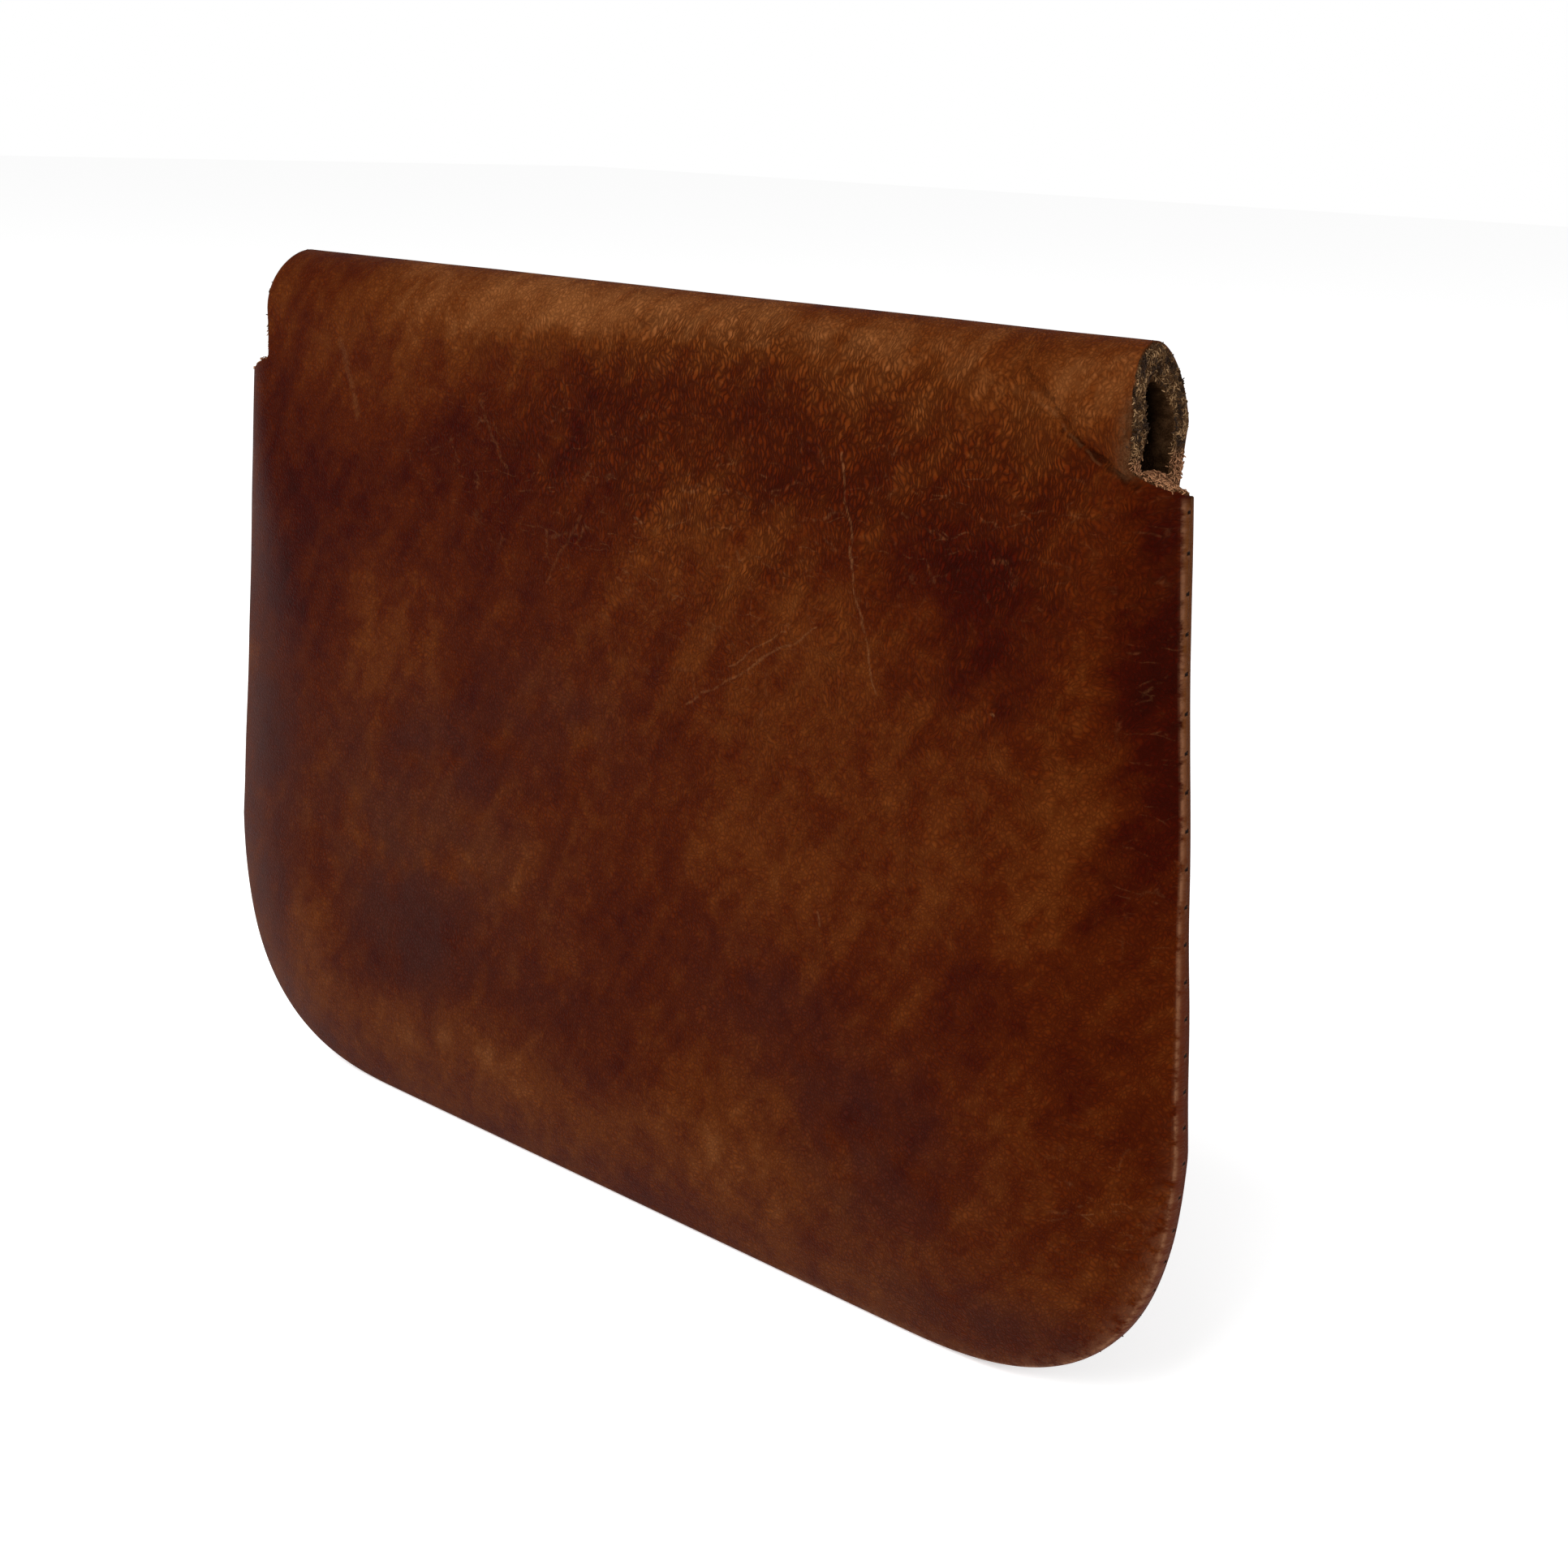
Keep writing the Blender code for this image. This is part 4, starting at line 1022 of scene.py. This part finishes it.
rim = {
    "rings": 7,
    "raw": isRaw,
    "cut": burnished,
    "bulge": 0.22 * (burnished + isRaw * 0.3),
    "tear": 0.14,
    "flip": True,
    "innerFields": {"flesh": 1.0, "strip": 0.0, "worn": 0.0, "level": 5.0},
}
pocketLeather, pocketPoints, pocketFaces, pocketRaw = buildLeather(
    "pocketLeather", outer, inner, lay, fields, rim, pocketMaterial
)

# stitches and fibres, by Geometry Nodes


# A geometry tree with a geometry in and out and named inputs; returns it with its two ends.
def newTree(name, inputs):
    tree = bpy.data.node_groups.new(name, "GeometryNodeTree")
    tree.interface.new_socket("Geometry", in_out="INPUT", socket_type="NodeSocketGeometry")
    identifiers = {}
    for label, kind, value in inputs:
        socket = tree.interface.new_socket(label, in_out="INPUT", socket_type="NodeSocket" + kind)
        if value is not None:
            socket.default_value = value
        identifiers[label] = socket.identifier
    tree.interface.new_socket("Geometry", in_out="OUTPUT", socket_type="NodeSocketGeometry")
    start, end = tree.nodes.new("NodeGroupInput"), tree.nodes.new("NodeGroupOutput")
    return tree, start.outputs, end.inputs["Geometry"], identifiers


# Runs a tree on a source mesh and keeps the result as a plain mesh piece.
def growMesh(name, source, tree, identifiers, values):
    seedObject = bpy.data.objects.new(name, source)
    bpy.context.scene.collection.objects.link(seedObject)
    modifier = seedObject.modifiers.new("grow", "NODES")
    modifier.node_group = tree
    for label, value in values.items():
        modifier[identifiers[label]] = value
    bpy.context.view_layer.update()
    graph = bpy.context.evaluated_depsgraph_get()
    mesh = bpy.data.meshes.new_from_object(seedObject.evaluated_get(graph))
    seedObject.modifiers.clear()
    seedObject.data = mesh
    print(f"{name}: {len(mesh.polygons)} faces")
    return seedObject


def plainMaterial(name, roughness, specular, metallic=0.0):
    material = bpy.data.materials.new(name)
    material.use_nodes = True
    shader = material.node_tree.nodes["Principled BSDF"]
    shader.inputs["Roughness"].default_value = roughness
    shader.inputs["Specular IOR Level"].default_value = specular
    shader.inputs["Metallic"].default_value = metallic
    return material, material.node_tree, shader


stitches = {"length": 0.36, "thickness": 0.12, "sunk": 0.05, "lean": 24.0, "back": 0.15}
threadMaterial, tree, shader = plainMaterial("waxedThread", 0.8, 0.05)
coords = addNode(tree, "ShaderNodeTexCoord").outputs["Object"]
twistValues = {"Vector": coords, "Scale": 2600.0, "Distortion": 2.0}
twist = addNode(tree, "ShaderNodeTexWave", twistValues, bands_direction="DIAGONAL")
threadColor = blendColor(tree, twist.outputs["Fac"], rgb(0.006, 0.0018, 0.0006), rgb(0.022, 0.006, 0.002))
tree.links.new(threadColor, shader.inputs["Base Color"])
tree.links.new(
    addNode(tree, "ShaderNodeBump", {"Height": twist.outputs["Fac"], "Distance": 0.00003}).outputs["Normal"],
    shader.inputs["Normal"],
)


# Places of the stitches along the outline, evenly apart, with the lie of the seam at each.
def stitchRoute():
    corner = purse["corner"]
    low = cornerLine(purse["cornerPower"], corner, purse["halfWidth"] - corner, corner)
    side = np.array([(sideLine(z), z) for z in np.linspace(corner, 72.0, 200)])
    right = np.concatenate([[(0.0, 0.0)], low, side[1:]])
    gone = np.concatenate([[0.0], np.cumsum(np.hypot(*np.diff(right, axis=0).T))])
    places = []
    for k in range(stitchCount + 1):
        run = -routeHalf + k * stitchPitch
        at = [np.interp(abs(run), gone, right[:, axis]) for axis in (0, 1)]
        ahead = [np.interp(abs(run) + 0.2, gone, right[:, axis]) for axis in (0, 1)]
        toward = Vector((ahead[0] - at[0], 0.0, ahead[1] - at[1])).normalized()
        side = 1.0 if run > 0 else -1.0
        sway = side * float(edgeSway(np.array([at[0] * side]), np.array([at[1]]), np.zeros(1))[0])
        inward = Vector((-toward.z, 0.0, toward.x))
        spot = Vector((at[0] + sway, 0.0, at[1])) + inward * stitches["sunk"]
        toward.x *= side
        places.append((spot.x * side, purse["seamY"] - stitches["back"], spot.z, toward))
    return places


stitchTree, given, made, names = newTree(
    "seamStitches",
    [("Length", "Float", 0.001), ("Thickness", "Float", 0.0002), ("Thread", "Material", None), ("Seed", "Int", 3)],
)
bead = addNode(stitchTree, "GeometryNodeMeshUVSphere", {"Segments": 10, "Rings": 7, "Radius": 0.5})
size = addNode(
    stitchTree, "ShaderNodeCombineXYZ", {"X": given["Thickness"], "Y": given["Length"], "Z": given["Thickness"]}
)
lieNode = addNode(stitchTree, "GeometryNodeInputNamedAttribute", {"Name": "turn"}, data_type="FLOAT_VECTOR")
turnNode = addNode(stitchTree, "FunctionNodeEulerToRotation", {0: lieNode.outputs["Attribute"]})
vary = addNode(
    stitchTree,
    "FunctionNodeRandomValue",
    {"Min": (0.8, 0.8, 0.8), "Max": (1.15, 1.2, 1.15), "Seed": given["Seed"]},
    data_type="FLOAT_VECTOR",
)
scaled = vectorCalc(stitchTree, "MULTIPLY", size.outputs[0], vary.outputs["Value"])
placed = addNode(
    stitchTree,
    "GeometryNodeInstanceOnPoints",
    {
        "Points": given["Geometry"],
        "Instance": bead.outputs["Mesh"],
        "Rotation": turnNode.outputs[0],
        "Scale": scaled.outputs[0],
    },
)
real = addNode(stitchTree, "GeometryNodeRealizeInstances", {"Geometry": placed.outputs[0]})
smoothed = addNode(stitchTree, "GeometryNodeSetShadeSmooth", {"Geometry": real.outputs[0]})
dressed = {"Geometry": smoothed.outputs[0], "Material": given["Thread"]}
finished = addNode(stitchTree, "GeometryNodeSetMaterial", dressed)
stitchTree.links.new(finished.outputs[0], made)

route = stitchRoute()
pointMesh = bpy.data.meshes.new("stitchPlaces")
pointMesh.from_pydata([(x * mm, y * mm, z * mm) for x, y, z, toward in route], [], [])
turnData = pointMesh.attributes.new("turn", "FLOAT_VECTOR", "POINT")
turnValues = []
for x, y, z, toward in route:
    lean = radians(stitches["lean"])
    across = Vector((0.0, 1.0, 0.0))
    length = (across * cos(lean) + toward * sin(lean)).normalized()
    outward = length.cross(toward).normalized()
    third = outward.cross(length)
    turnValues.extend(Matrix((third, length, outward)).transposed().to_euler())
turnData.data.foreach_set("vector", turnValues)
seamStitches = growMesh(
    "seamStitches",
    pointMesh,
    stitchTree,
    names,
    {"Length": stitches["length"] * mm, "Thickness": stitches["thickness"] * mm, "Thread": threadMaterial, "Seed": 3},
)

fibres = {"length": 0.42, "thickness": 0.042, "perSquareMm": 46.0}
fibreMaterial, tree, shader = plainMaterial("rawFibres", 0.85, 0.15)
strand = addNode(tree, "ShaderNodeAttribute", attribute_name="strand").outputs["Fac"]
strandRamp = addNode(tree, "ShaderNodeValToRGB", {"Fac": strand})
strandRamp.color_ramp.elements[0].color = rgb(0.036, 0.016, 0.006)
strandRamp.color_ramp.elements[1].color = rgb(0.34, 0.20, 0.095)
middleStop = strandRamp.color_ramp.elements.new(0.55)
middleStop.color = rgb(0.125, 0.062, 0.022)
coords = addNode(tree, "ShaderNodeTexCoord").outputs["Object"]
# painted shade: strands are darkened in noise-chosen hollows between clumps
clumps = noiseNode(tree, coords, 1100.0, 2.0).outputs["Fac"]
paintedClumpShade = fadeBetween(tree, clumps, 0.56, 0.42)
strandColor = blendColor(tree, paintedClumpShade, strandRamp.outputs["Color"], rgb(0.022, 0.010, 0.004))
onLedge = fadeBetween(tree, addNode(tree, "ShaderNodeSeparateXYZ", {0: coords}).outputs["Z"], 0.0742, 0.0729)
tanColor = blendColor(tree, strand, rgb(0.09, 0.03, 0.010), rgb(0.42, 0.20, 0.095))
strandColor = blendColor(tree, onLedge, strandColor, tanColor)
tree.links.new(strandColor, shader.inputs["Base Color"])

fibreTree, given, made, names = newTree(
    "tornFibres",
    [
        ("Density", "Float", 1e7),
        ("Length", "Float", 0.0005),
        ("Thickness", "Float", 0.00003),
        ("Fibre", "Material", None),
        ("Seed", "Int", 5),
    ],
)
scattered = addNode(
    fibreTree,
    "GeometryNodeDistributePointsOnFaces",
    {"Mesh": given["Geometry"], "Density": given["Density"], "Seed": given["Seed"]},
)
curl = addNode(
    fibreTree,
    "GeometryNodeCurveQuadraticBezier",
    {"Resolution": 5, "Start": (-0.3, 0, -0.12), "Middle": (0.15, 0.05, 0.38), "End": (0.62, 0.12, -0.02)},
)
ring = addNode(fibreTree, "GeometryNodeCurvePrimitiveCircle", {"Resolution": 3, "Radius": 1.0})
slim = addNode(fibreTree, "ShaderNodeMath", {0: given["Thickness"], 1: given["Length"]}, operation="DIVIDE")
shrink = addNode(fibreTree, "ShaderNodeCombineXYZ", {axis: slim.outputs[0] for axis in "XYZ"})
shrunk = {"Geometry": ring.outputs["Curve"], "Scale": shrink.outputs[0]}
ringSmall = addNode(fibreTree, "GeometryNodeTransform", shrunk)
hair = addNode(
    fibreTree,
    "GeometryNodeCurveToMesh",
    {"Curve": curl.outputs["Curve"], "Profile Curve": ringSmall.outputs[0], "Fill Caps": True},
)
spin = addNode(
    fibreTree,
    "FunctionNodeRandomValue",
    {"Min": (-0.35, -0.35, -pi), "Max": (0.35, 0.35, pi), "Seed": given["Seed"]},
    data_type="FLOAT_VECTOR",
)
spun = addNode(fibreTree, "FunctionNodeEulerToRotation", {0: spin.outputs["Value"]})
turned = addNode(
    fibreTree, "FunctionNodeRotateRotation", {"Rotation": scattered.outputs["Rotation"], "Rotate By": spun.outputs[0]}
)
turned.rotation_space = "LOCAL"
grow = addNode(fibreTree, "FunctionNodeRandomValue", {2: 0.35, 3: 1.3, "Seed": given["Seed"]}, data_type="FLOAT")
long = addNode(fibreTree, "ShaderNodeMath", {0: grow.outputs[1], 1: given["Length"]}, operation="MULTIPLY")
placed = addNode(
    fibreTree,
    "GeometryNodeInstanceOnPoints",
    {
        "Points": scattered.outputs["Points"],
        "Instance": hair.outputs["Mesh"],
        "Rotation": turned.outputs[0],
        "Scale": long.outputs[0],
    },
)
shadeValue = addNode(fibreTree, "FunctionNodeRandomValue", {2: 0.0, 3: 1.0, "Seed": 11}, data_type="FLOAT")
tagged = addNode(
    fibreTree,
    "GeometryNodeStoreNamedAttribute",
    {"Geometry": placed.outputs[0], "Name": "strand", "Value": shadeValue.outputs[1]},
    data_type="FLOAT",
    domain="INSTANCE",
)
real = addNode(fibreTree, "GeometryNodeRealizeInstances", {"Geometry": tagged.outputs[0]})
finished = addNode(fibreTree, "GeometryNodeSetMaterial", {"Geometry": real.outputs[0], "Material": given["Fibre"]})
fibreTree.links.new(finished.outputs[0], made)


# Short torn fibres on the raw faces of one piece of leather.
def growFibres(name, points, faces, raw, keep, seed):
    chosen = (raw[faces].min(axis=1) > 0.5) & keep(points[faces].mean(axis=1))
    picked = faces[chosen]
    used, back = np.unique(picked, return_inverse=True)
    mesh = bpy.data.meshes.new(name + "Ground")
    mesh.from_pydata((points[used] * mm).tolist(), [], back.reshape(picked.shape).tolist())
    values = {
        "Density": fibres["perSquareMm"] * 1e6,
        "Length": fibres["length"] * mm,
        "Thickness": fibres["thickness"] * mm,
        "Fibre": fibreMaterial,
        "Seed": seed,
    }
    return growMesh(name, mesh, fibreTree, names, values)


backFibres = growFibres("backFibres", backPoints, backFaces, backRaw, lambda p: p[:, 0] > 0, 5)
backFibresLeft = growFibres("backFibresLeft", backPoints, backFaces, backRaw, lambda p: p[:, 0] < 0, 6)
flapFibres = growFibres("flapFibres", flapPoints, flapFaces, flapRaw, lambda p: p[:, 2] > 62, 7)

# snap fastener, turned pieces on one axis

snap = {"segments": 72, "capBase": 7.06}


# Plating with cloudy tarnish and specks, and fine handling scratches.
def makeWearGroup():
    inputs = [
        ("Place", "Vector", None),
        ("Bright", "Color", rgb(0.46, 0.31, 0.14)),
        ("Tarnish", "Color", rgb(0.10, 0.055, 0.02)),
        ("Amount", "Float", 0.5),
    ]
    outputs = [("Color", "Color"), ("Roughness", "Float"), ("Height", "Float")]
    tree, given, result = newGroup("wornPlating", inputs, outputs)
    clouds = noiseNode(tree, given["Place"], 700.0, 5.0, 0.7, 0.2).outputs["Fac"]
    specks = noiseNode(tree, given["Place"], 2600.0, 2.0, 0.6).outputs["Fac"]
    lines = vectorCalc(tree, "MULTIPLY", given["Place"], (1.0, 1.0, 0.08)).outputs[0]
    hairlines = noiseNode(tree, lines, 9000.0, 1.0).outputs["Fac"]
    amount = calc(tree, "MULTIPLY_ADD", calc(tree, "SUBTRACT", given["Amount"], 0.5), 0.5, clouds)
    stained = fadeBetween(tree, amount, 0.38, 0.68)
    stained = calc(tree, "MULTIPLY_ADD", fadeBetween(tree, specks, 0.62, 0.7), 0.5, stained, clamp=True)
    tree.links.new(blendColor(tree, stained, given["Bright"], given["Tarnish"]), result["Color"])
    tree.links.new(calc(tree, "MULTIPLY_ADD", stained, 0.3, 0.24), result["Roughness"])
    tree.links.new(calc(tree, "ADD", calc(tree, "MULTIPLY", stained, -0.6), hairlines), result["Height"])
    return tree


wearGroup = makeWearGroup()


def metalMaterial(name, bright, tarnish, amount):
    material, tree, shader = plainMaterial(name, 0.3, 0.5, 1.0)
    coords = addNode(tree, "ShaderNodeTexCoord").outputs["Object"]
    worn = useGroup(tree, wearGroup, {"Place": coords, "Bright": bright, "Tarnish": tarnish, "Amount": amount})
    tree.links.new(worn["Color"], shader.inputs["Base Color"])
    tree.links.new(worn["Roughness"], shader.inputs["Roughness"])
    bump = addNode(tree, "ShaderNodeBump", {"Height": worn["Height"], "Distance": 0.000006})
    tree.links.new(bump.outputs["Normal"], shader.inputs["Normal"])
    return material


brassMaterial = metalMaterial("agedBrass", rgb(0.46, 0.31, 0.14), rgb(0.22, 0.135, 0.055), 0.45)
steelMaterial = metalMaterial("springSteel", rgb(0.55, 0.55, 0.54), rgb(0.2, 0.18, 0.16), 0.35)


# A closed profile of (radius, depth) turned round the snap's axis.
def turnedPiece(name, profile, material):
    profile = np.array(profile, float)
    count = snap["segments"]
    turn = np.arange(count) * 2 * pi / count
    points, rows = [], []
    for radius, depth in profile:
        if radius < 1e-6:
            rows.append([len(points)] * count)
            points.append((snapPlace["x"], purse["seamY"] + depth, snapPlace["z"]))
            continue
        rows.append(list(range(len(points), len(points) + count)))
        for a in turn:
            x, z = snapPlace["x"] + radius * cos(a), snapPlace["z"] + radius * sin(a)
            points.append((x, purse["seamY"] + depth, z))
    faces = []
    closed = profile[0][0] > 1e-6 and profile[-1][0] > 1e-6
    pairs = list(zip(rows, rows[1:])) + ([(rows[-1], rows[0])] if closed else [])
    for near, far in pairs:
        for k in range(count):
            ringFace = [near[k], near[(k + 1) % count], far[(k + 1) % count], far[k]]
            face = list(dict.fromkeys(ringFace))
            if len(face) > 2:
                faces.append(face)
    mesh = bpy.data.meshes.new(name)
    mesh.from_pydata([tuple(c * mm for c in p) for p in points], [], faces)
    mesh.validate()
    shape = bmesh.new()
    shape.from_mesh(mesh)
    bmesh.ops.recalc_face_normals(shape, faces=shape.faces)
    shape.to_mesh(mesh)
    shape.free()
    mesh.shade_smooth()
    mesh.set_sharp_from_angle(angle=radians(38))
    mesh.materials.append(material)
    piece = bpy.data.objects.new(name, mesh)
    bpy.context.scene.collection.objects.link(piece)
    return piece


def arcProfile(centre, radius, start, end, steps):
    angles = np.radians(np.linspace(start, end, steps))
    return [(centre[0] + radius * cos(a), centre[1] + radius * sin(a)) for a in angles]


base = snap["capBase"]
dome = [(5.25 * sin(a), base + 0.95 + 0.85 * cos(a)) for a in np.radians(np.linspace(2, 84, 16))]
groove = [(5.32, base + 0.98), (5.45, base + 0.9), (5.58, base + 0.93)]
capRim = arcProfile((5.75, base + 0.45), 0.47, 100, -60, 12)
capSocket = [(5.7, base), (1.5, base), (1.5, 5.45), (0.0, 5.45)]
capProfile = [(0.0, base + 1.8)] + dome + groove + capRim + capSocket
snapCap = turnedPiece("snapCapTurned", capProfile, brassMaterial)

socketLow, socketHigh = 3.6, 5.62
socketProfile = arcProfile((4.62, socketLow + 0.35), 0.35, -90, 0, 6)
socketProfile += [(4.97, socketLow + 1.25), (4.75, socketLow + 1.5), (4.3, socketLow + 1.62)]
socketProfile += [(4.2, socketHigh), (1.85, socketHigh), (1.85, 5.3), (2.5, 5.3), (2.5, 4.92)]
socketProfile += [(3.35, 4.92), (3.35, 3.9), (2.62, 3.9), (2.5, 3.78), (2.6, socketLow), (2.95, socketLow - 0.02)]
socketProfile += [(3.1, socketLow + 0.12), (3.9, socketLow + 0.12), (4.05, socketLow - 0.02)]
snapSocket = turnedPiece("snapSocketTurned", socketProfile, brassMaterial)

wireCentre = (2.72, 4.4)
springProfile = arcProfile(wireCentre, 0.27, 0, 330, 12)
snapSpring = turnedPiece("snapSpringTurned", springProfile, steelMaterial)

studFoot = 2.66
studProfile = [(1.75, studFoot), (4.45, studFoot)] + arcProfile((4.4, studFoot + 0.25), 0.22, -60, 90, 8)
studProfile += [(3.6, 3.1), (3.3, 3.02), (2.3, 3.05), (2.02, 3.2)]
studProfile += [(1.96, 3.6), (2.02, 3.85), (2.12, 4.1), (2.08, 4.35)]
studProfile += arcProfile((1.8, 4.4), 0.25, 10, 90, 6)
studProfile += [(1.2, 4.65), (0.9, 4.5), (0.0, 4.48), (0.0, 4.2), (1.75, 4.2)]
snapStud = turnedPiece("snapStudTurned", studProfile, brassMaterial)

postProfile = [(0.0, 0.42), (3.6, 0.46)] + arcProfile((4.15, 0.74), 0.26, -90, 90, 8)
postProfile += [(1.4, 1.26), (1.4, 4.1), (0.0, 4.1)]
snapPost = turnedPiece("snapPostTurned", postProfile, brassMaterial)
print("snap turned")

# floor, light and camera

studio = {
    "floorHalf": 3.0,
    "floorGlow": 0.4,
    "sky": 0.6,
    "backdrop": 1.0,
    "keyPower": 4.6,
    "keySize": 0.5,
    "keyPlace": (-0.06, -0.50, 0.56),
    "fillPower": 0.9,
    "fillPlace": (0.55, -0.25, 0.30),
}


def makeFloor():
    half = studio["floorHalf"]
    mesh = bpy.data.meshes.new("floor")
    corners = [(-half, -half, 0), (half, -half, 0), (half, half, 0), (-half, half, 0)]
    mesh.from_pydata(corners, [], [(0, 1, 2, 3)])
    material, tree, shader = plainMaterial("paleFloor", 0.9, 0.0)
    shader.inputs["Base Color"].default_value = rgb(0.94, 0.94, 0.94)
    shader.inputs["Emission Color"].default_value = rgb(1, 1, 1)
    shader.inputs["Emission Strength"].default_value = studio["floorGlow"]
    mesh.materials.append(material)
    floor = bpy.data.objects.new("floor", mesh)
    bpy.context.scene.collection.objects.link(floor)


def makeWorld():
    world = bpy.data.worlds.new("studio")
    world.use_nodes = True
    tree = world.node_tree
    tree.nodes.clear()
    sky = addNode(tree, "ShaderNodeBackground", {"Color": rgb(1, 1, 1), "Strength": studio["sky"]})
    seen = addNode(tree, "ShaderNodeBackground", {"Color": rgb(1, 1, 1), "Strength": studio["backdrop"]})
    path = addNode(tree, "ShaderNodeLightPath")
    both = addNode(
        tree, "ShaderNodeMixShader", {0: path.outputs["Is Camera Ray"], 1: sky.outputs[0], 2: seen.outputs[0]}
    )
    output = tree.nodes.new("ShaderNodeOutputWorld")
    tree.links.new(both.outputs[0], output.inputs["Surface"])
    bpy.context.scene.world = world


def makeLamp(name, place, power, size):
    lamp = bpy.data.lights.new(name, "AREA")
    lamp.energy = power
    lamp.size = size
    holder = bpy.data.objects.new(name, lamp)
    holder.location = place
    aim = Vector((0.0, 0.0, 0.04)) - Vector(place)
    holder.rotation_euler = aim.to_track_quat("-Z", "Y").to_euler()
    bpy.context.scene.collection.objects.link(holder)


view = {
    "azimuth": 39.07,
    "pitch": 17.56,
    "roll": 2.42,
    "distance": 0.16753,
    "target": (0.01624, -0.00215, 0.04316),
    "lens": 47.709,
}


def makeCamera():
    a, e, r = (radians(view[key]) for key in ("azimuth", "pitch", "roll"))
    back = Vector((sin(a) * cos(e), -cos(a) * cos(e), sin(e)))
    right = (-back).cross(Vector((0, 0, 1))).normalized()
    up = right.cross(-back)
    turnedRight = right * cos(r) + up * sin(r)
    turnedUp = up * cos(r) - right * sin(r)
    data = bpy.data.cameras.new("camera")
    data.sensor_width = 36.0
    data.lens = view["lens"]
    data.clip_start = 0.01
    data.clip_end = 20.0
    camera = bpy.data.objects.new("camera", data)
    axes = Matrix((turnedRight, turnedUp, back)).transposed().to_4x4()
    camera.matrix_world = Matrix.Translation(Vector(view["target"]) + back * view["distance"]) @ axes
    bpy.context.scene.collection.objects.link(camera)
    bpy.context.scene.camera = camera


bpy.context.scene.view_settings.view_transform = "Standard"
makeFloor()
makeWorld()
makeLamp("keyLight", studio["keyPlace"], studio["keyPower"], studio["keySize"])
makeLamp("fillLight", studio["fillPlace"], studio["fillPower"], 0.4)
makeCamera()
print("studio ready")

# which body each piece follows; the back and flap leather and their fibres are only baked in place

for piece in (backLeather, backFibres, backFibresLeft):
    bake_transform(piece)
for piece in (flapLeather, flapFibres):
    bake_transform(piece)
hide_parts("back_panel")
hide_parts("flap", "fold_strip")
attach(pocketLeather, "pouch")
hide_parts("front_panel")
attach(seamStitches, "pouch")
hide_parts("seam_thread")
snapPieces = (
    (snapCap, "flap", "snap_cap", "snap_brass"),
    (snapSocket, "flap", "snap_socket", "snap_brass"),
    (snapSpring, "flap", "snap_spring", "spring_steel"),
    (snapStud, "pouch", "snap_stud", "snap_brass"),
    (snapPost, "pouch", "snap_post", "snap_brass"),
)
for piece, body, cadNode, slotName in snapPieces:
    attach(piece, body)
    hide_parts(cadNode)
